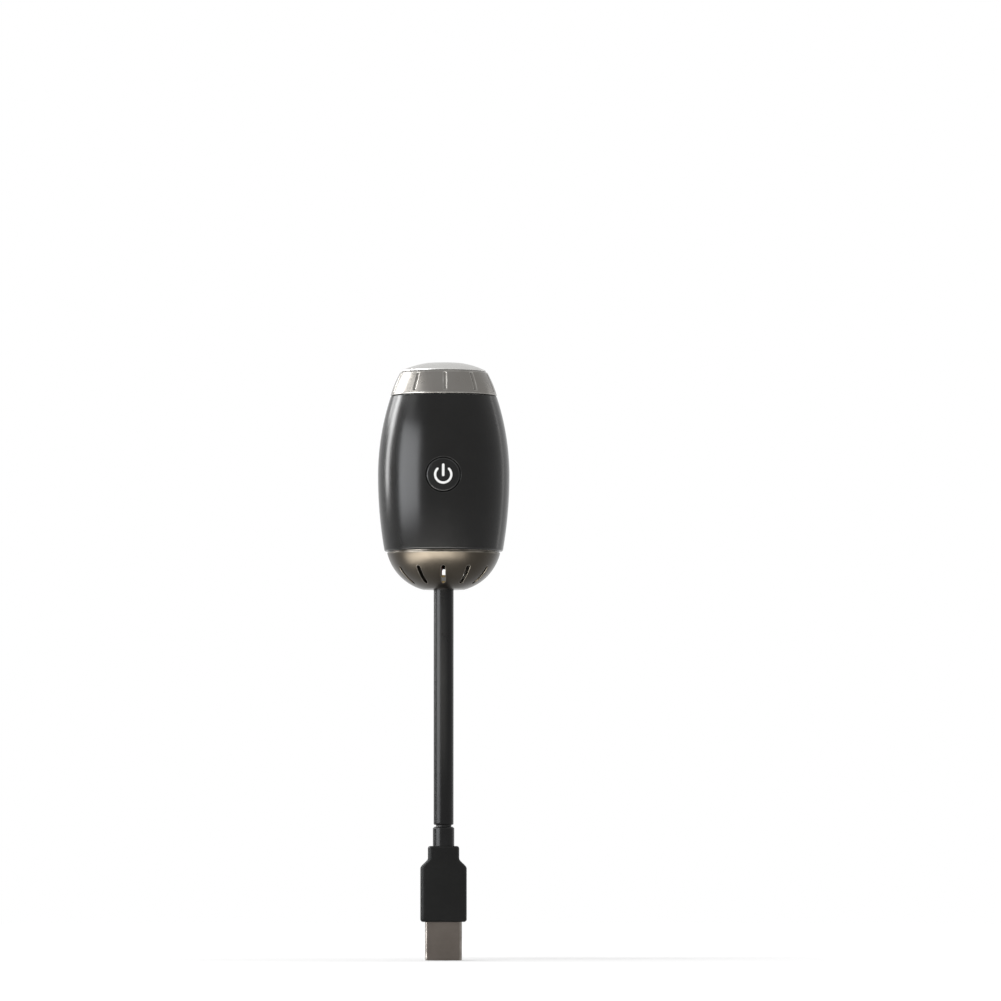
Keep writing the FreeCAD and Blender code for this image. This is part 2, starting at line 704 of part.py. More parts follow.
def plug_overmould():
    """Front outline grown both ways, then rounded. The shoulders are S-curves of two arcs."""
    body = new_body("plug_overmould")
    wide = size.mould_width / 2
    narrow = size.mould_top_width / 2
    inset = wide - narrow
    curve = (inset * inset + size.mould_slope * size.mould_slope) / (inset * 4)
    middle = (wide + narrow) / 2
    low = size.mould_straight
    bend_level = low + size.mould_slope / 2
    high = low + size.mould_slope
    front = new_sketch(body, "front", "XZ_Plane")
    outline(front, [
        (-wide, 0), (wide, 0),
        (wide, low, Bend(curve, "left")), (middle, bend_level, Bend(curve, "right")),
        (narrow, high), (narrow, size.mould_length),
        (-narrow, size.mould_length), (-narrow, high, Bend(curve, "right")),
        (-middle, bend_level, Bend(curve, "left")), (-wide, low),
    ])
    form = pad(body, front, size.mould_thickness, symmetric=True)
    face = size.mould_thickness.value / 2

    def on_the_long_sides(edge):
        box = edge.BoundBox
        flat = box.YLength < 0.01 and abs(abs(box.Center.y) - face) < 0.01
        return flat and box.ZMax > 0.01 and box.ZMin < size.mould_length.value - 0.01

    rounded = fillet(body, form, on_the_long_sides, size.mould_edge)
    fillet(body, rounded, lambda edge: edge.BoundBox.ZMax < 0.01, size.mould_foot_edge)
    plug_room = new_sketch(body, "plug_room", "XY_Plane")
    outline(plug_room, rounded_rectangle(size.plug_width, size.plug_height, size.plug_corner))
    pocket(body, plug_room, size.plug_rooted)
    solder_room = new_sketch(body, "solder_room", "XY_Plane")
    half_width = size.solder_room_width / 2
    half_depth = size.solder_room_depth / 2
    outline(solder_room, rectangle(-half_width, -half_depth, half_width, half_depth))
    pocket(body, solder_room, size.plug_rooted + size.solder_room_height)
    collar_bore = new_sketch(body, "collar_bore", "XY_Plane", size.mould_length)
    circle(collar_bore, 0, 0, size.collar_root_radius)
    pocket(body, collar_bore, size.collar_root, along_normal=False)
    core_bore = new_sketch(body, "core_bore", "XY_Plane", size.mould_length)
    circle(core_bore, 0, 0, size.core_radius)
    pocket(body, core_bore, size.mould_length - core_foot, along_normal=False)


core_foot = size.plug_rooted + size.solder_room_height


# Neck

def neck_collar():
    turned("neck_collar", [
        (size.core_radius, size.mould_length - size.collar_root),
        (size.collar_root_radius, size.mould_length - size.collar_root),
        (size.collar_root_radius, size.mould_length),
        (size.collar_radius, size.mould_length),
        (size.collar_radius, collar_top - size.collar_chamfer),
        (size.collar_radius - size.collar_chamfer, collar_top),
        (size.core_radius, collar_top),
    ])


def gooseneck_core():
    turned("gooseneck_core", [
        (size.core_bore, core_foot), (size.core_radius, core_foot),
        (size.core_radius, core_top), (size.core_bore, core_top),
    ])


def neck_leads():
    leads = []
    for number, x in enumerate((-size.lead_distance, size.lead_distance), start=1):
        leads.append(cylinder(
            f"neck_lead_{number}", size.lead_radius, core_top - contact_tip, x, 0, contact_tip))
    group("neck_leads", leads)


first_pivot = sleeve_foot + size.foot_pivot
last_pivot = head_foot - size.head_pivot
pivot_pitch = (last_pivot - first_pivot) / (JOINTS_IN_NECK - 1)


def round_end(radius, at_radius):
    """Height over a pivot of a round end, at a radius."""
    return (radius * radius - at_radius * at_radius).root()


def neck_sleeve(name, foot, top):
    """A length of sleeve. Its ends are round about the pivots, or flat where foot or top is given."""
    ball = size.ball_radius
    cup = size.ball_radius + size.ball_gap
    outer = size.sleeve_radius
    if foot is None:
        corners = [
            (sleeve_bore, round_end(cup, sleeve_bore), Bend(cup, "right")),
            (outer, round_end(cup, outer)),
        ]
    else:
        corners = [
            (sleeve_bore, foot), (outer - size.sleeve_edge, foot, Bend(size.sleeve_edge, "left")),
            (outer, foot + size.sleeve_edge),
        ]
    if top is None:
        above = pivot_pitch if foot is None else measure(0)
        corners += [
            (outer, above + round_end(ball, outer), Bend(ball, "left")),
            (sleeve_bore, above + round_end(ball, sleeve_bore)),
        ]
    else:
        corners += [(outer, top), (sleeve_bore, top)]
    return turned(name, corners)


def neck_sleeves():
    """One length below the first pivot, one between each two pivots and one above the last."""
    lowest = neck_sleeve("neck_sleeve_00", -size.foot_pivot, None)
    bind(lowest, "Placement.Base.z", first_pivot)
    for number in range(1, JOINTS_IN_NECK):
        link = neck_sleeve(f"neck_sleeve_{number:02d}", None, None)
        bind(link, "Placement.Base.z", first_pivot + pivot_pitch * (number - 1))
    highest = neck_sleeve(f"neck_sleeve_{JOINTS_IN_NECK}", None, floor_top - last_pivot)
    bind(highest, "Placement.Base.z", last_pivot)


def neck_ferrule():
    bore = size.core_radius + size.running_gap
    turned("neck_ferrule", [
        (bore, floor_top), (size.ferrule_flange_radius, floor_top),
        (size.ferrule_flange_radius, clamp_foot), (size.ferrule_radius, clamp_foot),
        (size.ferrule_radius, floor_top + size.ferrule_height),
        (bore, floor_top + size.ferrule_height),
    ])


def neck_clamp():
    body = new_body("neck_clamp")
    plan = new_sketch(body, "plan", "XY_Plane", clamp_foot)
    outline(plan, rounded_rectangle(size.clamp_length, size.clamp_width, size.boss_radius))
    circle(plan, 0, 0, size.ferrule_radius + size.running_gap)
    for x in (-size.clamp_screw_offset, size.clamp_screw_offset):
        circle(plan, x, 0, size.screw_radius)
    pad(body, plan, size.clamp_thickness)


def screw(name, x, y, seat, length):
    """A pan head screw: its head stands on seat, its shank goes down."""
    shank = cylinder(f"{name}_shank", size.screw_radius, length, x, y, seat - length)
    head = cylinder(f"{name}_head", size.screw_head_radius, size.screw_head, x, y, seat)
    return fuse(name, [shank, head])


def clamp_screws():
    length = size.clamp_thickness + size.clamp_screw_bite
    group("clamp_screws", [
        screw("clamp_screw_1", -size.clamp_screw_offset, 0, clamp_top, length),
        screw("clamp_screw_2", size.clamp_screw_offset, 0, clamp_top, length),
    ])


def head_leads():
    """Two leads that go on from the neck: up, forwards under the fins and up to the circuit board."""
    landing_y = -(size.circuit_front + size.lead_radius)
    leads = []
    for side in (-1, 1):
        points = [
            (size.lead_distance * side, measure(0), core_top),
            (size.lead_distance * side, measure(0), core_top + size.lead_rise),
            (size.lead_side * side, landing_y, core_top + size.lead_rise + size.lead_climb),
            (size.lead_side * side, landing_y, circuit_foot + size.lead_landing),
        ]
        leads.append(wire_solid([
            FreeCAD.Vector(x.value, y.value, z.value) for x, y, z in points],
            size.lead_radius.value))
    whole = doc.addObject("Part::Feature", "head_leads")
    whole.Shape = Part.makeCompound(leads)
    keep(whole, "head_leads")


def wire_solid(points, radius):
    """A round wire along straight runs joined by tangent arcs."""
    edges = []
    start = points[0]
    for before, corner, after in zip(points, points[1:], points[2:]):
        incoming = (corner - before).normalize()
        outgoing = (after - corner).normalize()
        half_turn = incoming.getAngle(outgoing) / 2
        trim = 0.45 * min((corner - before).Length, (after - corner).Length)
        bend = trim / math.tan(half_turn)
        print(f"lead bend radius {bend:.2f} mm")
        arc_start = corner - incoming * trim
        arc_end = corner + outgoing * trim
        inward = (outgoing - incoming).normalize()
        arc_middle = corner + inward * (bend / math.cos(half_turn) - bend)
        edges.append(Part.LineSegment(start, arc_start).toShape())
        edges.append(Part.Arc(arc_start, arc_middle, arc_end).toShape())
        start = arc_end
    edges.append(Part.LineSegment(start, points[-1]).toShape())
    path = Part.Wire(edges)
    section = Part.Wire(Part.Circle(points[0], points[1] - points[0], radius).toShape())
    solid = path.makePipeShell([section], True, True)
    length_ratio = solid.Volume / (math.pi * radius * radius * path.Length)
    print(f"lead volume against its section times its length {length_ratio:.4f}")
    return solid


# Base cap and shell

def base_cap():
    """Bowl with vent slots, a snap spigot, four screw posts and two clamp bosses."""
    body = new_body("base_cap")
    wall = size.cap_wall
    spigot_top = cap_rim + size.spigot_height
    bead_level = cap_rim + size.spigot_height * 0.65
    spigot_inner = size.spigot_radius - size.spigot_wall
    shelf = cap_rim - wall
    seat = size.spigot_radius + size.seat_width
    hole = size.sleeve_radius + size.sleeve_clearance
    profile = new_sketch(body, "profile", "XZ_Plane")
    outline(profile, [
        (hole, head_foot),
        (size.cap_foot_radius, head_foot, Bend(size.cap_curve, "left")),
        (size.cap_rim_radius, cap_rim), (seat, cap_rim),
        (seat, shell_foot), (size.spigot_radius, shell_foot),
        (size.spigot_radius, bead_level - size.bead_height),
        (size.spigot_radius + size.bead_height, bead_level),
        (size.spigot_radius, bead_level + size.bead_height),
        (size.spigot_radius, spigot_top), (spigot_inner, spigot_top),
        (spigot_inner, shelf), (on_bowl(shelf, -wall), shelf, Bend(size.cap_curve - wall, "right")),
        (on_bowl(floor_top, -wall), floor_top), (hole, floor_top),
    ])
    revolve(body, profile)
    posts = new_sketch(body, "posts", "XY_Plane", head_foot)
    for x, y in post_places():
        circle(posts, x, y, size.post_radius)
    pad(body, posts, size.post_height)
    bosses = new_sketch(body, "bosses", "XY_Plane", head_foot)
    for x in (-size.clamp_screw_offset, size.clamp_screw_offset):
        circle(bosses, x, 0, size.boss_radius)
    pad(body, bosses, clamp_foot - head_foot)
    outside = new_sketch(body, "outside", "XZ_Plane")
    beyond = size.cap_rim_radius
    outline(outside, [
        (size.cap_foot_radius, head_foot, Bend(size.cap_curve, "left")),
        (size.cap_rim_radius, cap_rim), (beyond + wall, cap_rim),
        (beyond + wall, head_foot - wall), (0, head_foot - wall), (0, head_foot),
    ])
    groove(body, outside)
    vents = new_sketch(body, "vent", "XZ_Plane", size.vent_root)
    outline(vents, upright_slot(
        size.vent_width / 2, head_foot + size.vent_low, head_foot + size.vent_high))
    vent = pocket(body, vents, size.cap_rim_radius)
    round_the_axis(body, vent, VENTS)
    post_holes = new_sketch(body, "post_holes", "XY_Plane", sink_foot)
    for x, y in post_places():
        circle(post_holes, x, y, size.screw_radius)
    pocket(body, post_holes, size.post_screw_bite, along_normal=False)
    boss_holes = new_sketch(body, "boss_holes", "XY_Plane", clamp_foot)
    for x in (-size.clamp_screw_offset, size.clamp_screw_offset):
        circle(boss_holes, x, 0, size.screw_radius)
    pocket(body, boss_holes, size.clamp_screw_bite, along_normal=False)


def post_places():
    reach = size.post_offset
    return ((reach, reach), (-reach, reach), (-reach, -reach), (reach, -reach))


def body_shell():
    """Barrel with a snap bore below, a flange round the focus ring's skirt and a button hole."""
    body = new_body("body_shell")
    wall = size.shell_wall
    bore = size.spigot_radius + size.snap_clearance
    bead_level = cap_rim + size.spigot_height * 0.65
    bead = size.bead_height + size.snap_clearance
    land_top = cap_rim + size.spigot_height + size.bead_height
    slope_top = land_top + wall
    lip_foot = shell_top - size.shell_lip
    profile = new_sketch(body, "profile", "XZ_Plane")
    outline(profile, [
        (bore, shell_foot),
        (size.shell_foot_radius, shell_foot, Bend(lower_curve, "left")),
        (size.head_radius, waist, Bend(upper_curve, "left")),
        (size.shell_top_radius, shell_top), (shell_hole, shell_top), (shell_hole, lip_foot),
        (on_barrel(upper_curve, lip_foot, -wall), lip_foot, Bend(upper_curve - wall, "right")),
        (size.head_radius - wall, waist, Bend(lower_curve - wall, "right")),
        (on_barrel(lower_curve, slope_top, -wall), slope_top), (bore, land_top),
        (bore, bead_level + bead), (bore + bead, bead_level), (bore, bead_level - bead),
    ])
    barrel = revolve(body, profile)
    foot = shell_foot.value
    foot_radius = size.shell_foot_radius.value

    def outer_foot(edge):
        box = edge.BoundBox
        return abs(box.ZMax - foot) < 0.01 and abs(box.XMax - foot_radius) < 0.01

    fillet(body, barrel, outer_foot, size.shell_foot_edge)
    hole = new_sketch(body, "button_hole", "XZ_Plane")
    circle(hole, 0, button_level, size.button_radius + size.button_gap)
    pocket(body, hole, size.head_radius + wall)


def power_button():
    """Round button whose face follows the barrel, with a flange behind the shell's wall."""
    body = new_body("power_button")
    flange = new_sketch(body, "flange", "XZ_Plane", plunger_tip)
    circle(flange, 0, button_level, size.button_flange_radius)
    pad(body, flange, size.button_flange_thickness)
    plug = new_sketch(body, "face", "XZ_Plane", plunger_tip)
    circle(plug, 0, button_level, size.button_radius)
    pad(body, plug, size.head_radius + size.button_proud - plunger_tip + size.button_edge)
    outside = new_sketch(body, "outside", "XZ_Plane")
    low = button_level - size.button_flange_radius
    high = button_level + size.button_flange_radius
    proud = size.button_proud
    far = size.head_radius + size.button_flange_radius
    outline(outside, [
        (far, low), (far, high),
        (on_barrel(upper_curve, high, proud), high, Bend(upper_curve + proud, "right")),
        (size.head_radius + proud, waist, Bend(lower_curve + proud, "right")),
        (on_barrel(lower_curve, low, proud), low),
    ])
    trimmed = groove(body, outside)
    front = size.head_radius.value - size.shell_wall.value / 2
    chamfer(body, trimmed, lambda edge: edge.BoundBox.YMax < -front, size.button_edge)


# Focus ring, washers and bezel

def ring_outside(level):
    """Radius of the straight line from the ring's lower to its upper edge, at a level."""
    share = (level - ring_foot) / size.ring_height
    return size.shell_top_radius - (size.shell_top_radius - size.ring_top_radius) * share


def focus_ring():
    """Turned ring with grip grooves outside and left-handed cam grooves in its skirt."""
    body = new_body("focus_ring")
    skirt_foot = ring_foot - size.skirt_depth
    roof = ring_top - size.ring_roof
    profile = new_sketch(body, "profile", "XZ_Plane")
    outline(profile, [
        (ring_bore, skirt_foot), (size.skirt_radius, skirt_foot), (size.skirt_radius, roof),
        (ring_outside(roof) - size.ring_wall, roof),
        (size.shell_top_radius - size.ring_wall, ring_foot),
        (size.shell_top_radius, ring_foot, Bend(size.ring_curve, "left")),
        (size.ring_top_radius, ring_top - size.ring_edge),
        (size.ring_top_radius - size.ring_edge, ring_top), (ring_bore, ring_top),
    ])
    revolve(body, profile)
    low = ring_foot + size.grip_low
    high = ring_foot + size.grip_high
    run = ring_outside(low) - ring_outside(high)
    rise = high - low
    slant = (run * run + rise * rise).root()
    bulge = slant * slant / (size.ring_curve * 8)
    reach = bulge + size.grip_radius - size.grip_depth
    cutter = body.newObject("PartDesign::SubtractiveCylinder", "grip_groove")
    cutter.AttachmentSupport = [(origin_feature(body, "XZ_Plane"), "")]
    cutter.MapMode = "FlatFace"
    bind(cutter, "Radius", size.grip_radius)
    bind(cutter, "Height", slant)
    cutter.AttachmentOffset = FreeCAD.Placement(
        FreeCAD.Vector(0, 0, 0), FreeCAD.Rotation(FreeCAD.Vector(1, 0, 0), -90))
    tilt = math.degrees(math.atan2(run.value, rise.value))
    bind(cutter, "AttachmentOffset.Rotation.Angle",
         Measure(f"(-90 - atan2({run.text}; {rise.text}) / 1deg)", -90 - tilt))
    bind(cutter, "AttachmentOffset.Base.y", low + reach * run / slant)
    bind(cutter, "AttachmentOffset.Base.z", ring_outside(low) + reach * rise / slant)
    round_the_axis(body, cutter, GRIPS)
    cam = new_sketch(body, "cam_groove", "XZ_Plane")
    swing = size.cam_swing + size.cam_spare
    half = size.pin_radius + size.pin_clearance * 2
    start = cam_level - size.cam_lead * swing / 360
    outline(cam, rectangle(
        size.tube_radius, start - half, size.cam_depth_radius, start + half))
    cam.AttachmentOffset = FreeCAD.Placement(
        FreeCAD.Vector(0, 0, 0), FreeCAD.Rotation(FreeCAD.Vector(0, 1, 0), FIRST_PIN_ANGLE))
    bind(cam, "AttachmentOffset.Rotation.Angle", swing + FIRST_PIN_ANGLE)
    doc.recompute()
    helix = body.newObject("PartDesign::SubtractiveHelix", "cam_groove")
    helix.Profile = cam
    helix.ReferenceAxis = (cam, ["V_Axis"])
    helix.Mode = "height-turns-angle"
    helix.LeftHanded = True
    helix.Angle = 0
    bind(helix, "Turns", swing / 180)
    bind(helix, "Height", size.cam_lead * swing / 180)
    round_the_axis(body, helix, LENS_PINS)


def thrust_washer():
    turned("thrust_washer", [
        (size.washer_inner, shell_top), (size.washer_outer, shell_top),
        (size.washer_outer, shell_top + size.washer_thickness),
        (size.washer_inner, shell_top + size.washer_thickness),
    ])


def drag_ring():
    ring = doc.addObject("Part::Torus", "drag_ring")
    bind(ring, "Radius1", size.tube_radius - size.drag_groove + size.drag_ring_radius)
    bind(ring, "Radius2", size.drag_ring_radius)
    bind(ring, "Placement.Base.z", tube_top - size.drag_below_top)
    keep(ring, "drag_ring")


def top_bezel():
    window_foot = bezel_top - size.window_lip - size.window_thickness
    window_bore = size.window_radius + size.fit_clearance
    spigot_inner = inner_fit - size.bezel_spigot_wall
    turned("top_bezel", [
        (size.aperture_radius, bezel_top - size.window_lip), (window_bore, bezel_top - size.window_lip),
        (window_bore, window_foot), (spigot_inner, window_foot),
        (spigot_inner, tube_top - size.bezel_spigot), (inner_fit, tube_top - size.bezel_spigot),
        (inner_fit, tube_top), (size.bezel_radius, tube_top),
        (size.bezel_radius, tube_top + size.bezel_rim, Bend(size.bezel_curve, "left")),
        (size.bezel_flat_radius, bezel_top), (size.aperture_radius, bezel_top),
    ])


def front_window():
    top = bezel_top - size.window_lip
    turned("front_window", [
        (0, top - size.window_thickness), (size.window_radius, top - size.window_thickness),
        (size.window_radius, top), (0, top),
    ])


# Frame and optics

def heat_sink():
    body = new_body("heat_sink")
    plan = new_sketch(body, "plate", "XY_Plane", sink_foot)
    circle(plan, 0, 0, size.sink_radius)
    for x, y in post_places():
        circle(plan, x, y, size.screw_radius)
    pad(body, plan, size.sink_plate)
    fins = new_sketch(body, "fins", "XY_Plane", sink_foot - size.fin_height)
    half = size.fin_thickness / 2
    for number in range(-FINS_EACH_SIDE, FINS_EACH_SIDE + 1):
        x = size.fin_pitch * number
        outline(fins, rectangle(x - half, -size.fin_half_length, x + half, size.fin_half_length))
    pad(body, fins, size.fin_height)
    notch = new_sketch(body, "cable_notch", "XY_Plane", sink_foot)
    outline(notch, rectangle(
        -size.notch_half_width, -size.sink_radius - size.sink_plate,
        size.notch_half_width, -size.notch_start))
    pocket(body, notch, size.sink_plate)


def led_board():
    body = new_body("led_board")
    plan = new_sketch(body, "plan", "XY_Plane", sink_top)
    circle(plan, 0, 0, size.led_board_radius)
    pad(body, plan, size.led_board_thickness)
    tab = new_sketch(body, "tab", "XY_Plane", sink_top)
    outline(tab, rectangle(
        -size.led_tab_half_width, -size.led_tab_reach,
        size.led_tab_half_width, -size.led_board_radius / 2))
    pad(body, tab, size.led_board_thickness)


def led_emitter():
    base_top = led_board_top + size.led_base_height
    turned("led_emitter", [
        (0, led_board_top), (size.led_base_radius, led_board_top),
        (size.led_base_radius, base_top),
        (size.led_dome_radius, base_top, Bend(size.led_dome_radius, "left")),
        (0, base_top + size.led_dome_radius),
    ])


def optics_tube():
    """Tube with a flange, a lens seat, a groove for the drag ring, guide slots and board rails."""
    body = new_body("optics_tube")
    outer = size.tube_radius
    recess = size.led_board_radius + size.sleeve_clearance
    drag_level = tube_top - size.drag_below_top
    drag_half = size.drag_ring_radius + size.sleeve_clearance
    drag_floor = outer - size.drag_groove
    profile = new_sketch(body, "profile", "XZ_Plane")
    outline(profile, [
        (recess, sink_top), (size.sink_radius, sink_top), (size.sink_radius, flange_top),
        (outer, flange_top), (outer, drag_level - drag_half), (drag_floor, drag_level - drag_half),
        (drag_floor, drag_level + drag_half), (outer, drag_level + drag_half),
        (outer, tube_top), (tube_bore, tube_top),
        (tube_bore, condenser_seat), (size.seat_bore, condenser_seat),
        (size.seat_bore, led_board_top), (recess, led_board_top),
    ])
    revolve(body, profile)
    rails(body)
    holes = new_sketch(body, "screw_holes", "XY_Plane", sink_top)
    for x, y in post_places():
        circle(holes, x, y, size.screw_radius)
    pocket(body, holes, size.flange_thickness)
    notch = new_sketch(body, "cable_notch", "XY_Plane", sink_top)
    outline(notch, rectangle(
        -size.notch_half_width, -size.sink_radius - size.sink_plate,
        size.notch_half_width, -outer - size.fit_clearance))
    pocket(body, notch, size.flange_thickness)
    tab_room = new_sketch(body, "tab_room", "XY_Plane", sink_top)
    half_tab = size.led_tab_half_width + size.fit_clearance
    outline(tab_room, rectangle(
        -half_tab, -size.sink_radius, half_tab, -size.led_board_radius / 2))
    pocket(body, tab_room, size.led_board_thickness)
    slot = new_sketch(body, "guide_slot", "XZ_Plane")
    reach = focus_travel + size.slot_spare
    half = size.pin_radius + size.pin_clearance
    outline(slot, upright_slot(half, cam_level - reach - half, cam_level + reach + half))
    guide = pocket(body, slot, size.sink_radius, along_normal=False)
    round_the_axis(body, guide, LENS_PINS)


def rails(body):
    """Two grooved rails on the tube's front that the circuit board slides into."""
    half_board = size.circuit_width / 2
    inner = half_board - size.rail_bite
    outer = half_board + size.rail_wall
    front = -(size.circuit_front + size.rail_wall)
    plan = new_sketch(body, "rails", "XY_Plane", circuit_foot)
    clearance = size.fit_clearance
    board_front = -size.circuit_front - clearance
    board_back = -size.circuit_front + size.circuit_thickness + clearance
    in_the_wall = size.tube_radius - size.tube_wall / 2
    outer_root = (in_the_wall * in_the_wall - outer * outer).root()
    inner_root = (in_the_wall * in_the_wall - inner * inner).root()
    for side in (-1, 1):
        corners = [
            (inner, front), (outer, front), (outer, -outer_root), (inner, -inner_root),
            (inner, board_back), (half_board + clearance, board_back),
            (half_board + clearance, board_front), (inner, board_front),
        ]
        outline(plan, [(x * side, y) for x, y in corners])
    pad(body, plan, circuit_top - circuit_foot)


def condenser_lens():
    turned("condenser_lens", [
        (0, condenser_seat), (inner_fit, condenser_seat), (inner_fit, spacer_foot),
        (size.condenser_face, spacer_foot, Bend(size.condenser_curve, "left")),
        (0, spacer_foot + size.condenser_curve
            - round_end(size.condenser_curve, size.condenser_face)),
    ])


def spacer_tube():
    turned("spacer_tube", [
        (inner_fit - size.spacer_wall, spacer_foot), (inner_fit, spacer_foot),
        (inner_fit, holder_foot), (inner_fit - size.spacer_wall, holder_foot),
    ])


def slide_holder():
    bed = holder_top - size.slide_thickness
    bed_radius = size.slide_radius + size.fit_clearance
    turned("slide_holder", [
        (size.picture_radius, holder_foot), (inner_fit, holder_foot), (inner_fit, holder_top),
        (bed_radius, holder_top), (bed_radius, bed), (size.picture_radius, bed),
    ])


def film_slide():
    turned("film_slide", [
        (0, holder_top - size.slide_thickness),
        (size.slide_radius, holder_top - size.slide_thickness),
        (size.slide_radius, holder_top), (0, holder_top),
    ])


def slide_retainer():
    top = holder_top + size.retainer_thickness
    turned("slide_retainer", [
        (size.picture_radius, holder_top), (inner_fit, holder_top),
        (inner_fit, top), (size.picture_radius, top),
    ])


def frame_screws():
    length = size.flange_thickness + size.sink_plate + size.post_screw_bite
    screws = []
    for number, (x, y) in enumerate(post_places(), start=1):
        screws.append(screw(f"frame_screw_{number}", x, y, flange_top, length))
    group("frame_screws", screws)


# Lens carriage

lens_seat = cam_level + size.lens_above_pin
lens_top = lens_seat + size.lens_edge


def pin_angles():
    return [FIRST_PIN_ANGLE + 360 / LENS_PINS * number for number in range(LENS_PINS)]


def lens_barrel():
    body = new_body("lens_barrel")
    foot = cam_level - size.barrel_below_pin
    top = cam_level + size.barrel_above_pin
    bore = size.lens_radius + size.fit_clearance
    profile = new_sketch(body, "profile", "XZ_Plane")
    outline(profile, [
        (size.lens_face, foot), (inner_fit, foot), (inner_fit, top),
        (bore, top), (bore, lens_seat), (size.lens_face, lens_seat),
    ])
    revolve(body, profile)
    hole = new_sketch(body, "pin_hole", "XZ_Plane")
    circle(hole, 0, cam_level, size.pin_radius)
    drilled = pocket(body, hole, size.tube_radius, along_normal=False)
    round_the_axis(body, drilled, LENS_PINS)


def cam_pins():
    pins = []
    length = size.pin_tip_radius - size.pin_root_radius
    for number, angle in enumerate(pin_angles(), start=1):
        along = math.cos(math.radians(angle))
        across = math.sin(math.radians(angle))
        pins.append(cylinder(
            f"cam_pin_{number}", size.pin_radius, length,
            size.pin_root_radius * along, size.pin_root_radius * across, cam_level,
            axis=(-across, along, 0), angle=90))
    group("cam_pins", pins)


def projection_lens():
    bulge = size.lens_curve - round_end(size.lens_curve, size.lens_face)
    turned("projection_lens", [
        (0, lens_seat - bulge, Bend(size.lens_curve, "left")),
        (size.lens_face, lens_seat), (size.lens_radius, lens_seat),
        (size.lens_radius, lens_top), (size.lens_face, lens_top, Bend(size.lens_curve, "left")),
        (0, lens_top + bulge),
    ])


def lens_retainer():
    bore = size.lens_face + size.fit_clearance / 2
    outer = size.lens_radius + size.fit_clearance
    top = lens_top + size.lens_retainer_height
    turned("lens_retainer", [(bore, lens_top), (outer, lens_top), (outer, top), (bore, top)])


# Circuit board, switch and leads

def driver_board():
    board = block(
        "driver_board", size.circuit_width, size.circuit_thickness, circuit_top - circuit_foot,
        -size.circuit_width / 2, -size.circuit_front, circuit_foot)
    keep(board, "driver_board")


def tact_switch():
    half = size.switch_side / 2
    case = block(
        "switch_case", size.switch_side, switch_depth, size.switch_side,
        -half, -switch_front, button_level - half)
    depth = size.plunger_root + size.button_travel + size.plunger_clearance * 2
    bore = cylinder(
        "switch_bore", size.plunger_radius + size.plunger_clearance, depth,
        0, -switch_front + depth, button_level, axis=(1, 0, 0), angle=90)
    keep(cut("tact_switch", case, bore), "tact_switch")


def switch_plunger():
    plunger = cylinder(
        "switch_plunger", size.plunger_radius, plunger_tip - switch_front + size.plunger_root,
        0, -switch_front + size.plunger_root, button_level, axis=(1, 0, 0), angle=90)
    keep(plunger, "switch_plunger")


def driver_chip():
    chip = block(
        "driver_chip", size.chip_width, size.chip_depth, size.chip_height,
        -size.chip_width / 2, -size.circuit_front - size.chip_depth,
        button_level - size.switch_side / 2 - size.chip_drop - size.chip_height)
    keep(chip, "driver_chip")


def driver_coil():
    coil = cylinder(
        "driver_coil", size.coil_radius, coil_depth,
        0, -size.circuit_front, coil_level, axis=(1, 0, 0), angle=90)
    keep(coil, "driver_coil")


def board_capacitors():
    parts = []
    level = coil_level - size.capacitor_height / 2
    for number, x in enumerate((-size.capacitor_distance, size.capacitor_distance), start=1):
        parts.append(block(
            f"capacitor_{number}", size.capacitor_width, size.capacitor_depth,
            size.capacitor_height, x - size.capacitor_width / 2,
            -size.circuit_front - size.capacitor_depth, level))
    group("board_capacitors", parts)


def led_leads():
    leads = []
    y = size.circuit_thickness / 2 - size.circuit_front
    for number, x in enumerate((-size.led_lead_distance, size.led_lead_distance), start=1):
        leads.append(cylinder(
            f"led_lead_{number}", size.led_lead_radius, circuit_foot - led_board_top,
            x, y, led_board_top))
    group("led_leads", leads)


for make in (
        plug_shell, plug_tongue, plug_contacts, plug_overmould,
        neck_collar, gooseneck_core, neck_leads, neck_sleeves,
        neck_ferrule, neck_clamp, clamp_screws, head_leads,
        base_cap, body_shell, power_button,
        focus_ring, thrust_washer, drag_ring, top_bezel, front_window,
        heat_sink, led_board, led_emitter, optics_tube,
        condenser_lens, spacer_tube, slide_holder, film_slide, slide_retainer, frame_screws,
        lens_barrel, cam_pins, projection_lens, lens_retainer,
        driver_board, tact_switch, switch_plunger, driver_chip, driver_coil,
        board_capacitors, led_leads):
    make()

doc.recompute()

# Checks, then one file for each piece

for thing in doc.Objects:
    if "Invalid" in thing.State or "Error" in thing.State:
        raise RuntimeError(f"{thing.Name} failed: {thing.State}")
for name, piece in pieces.items():
    if piece.Shape.isNull() or not piece.Shape.isValid() or not piece.Shape.Solids:
        raise RuntimeError(f"{name} has no sound solid")

os.makedirs("parts", exist_ok=True)
for name, piece in pieces.items():
    piece.Shape.exportStep(f"parts/{name}.step")
print(f"{len(pieces)} pieces written")
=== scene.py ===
import json
import math

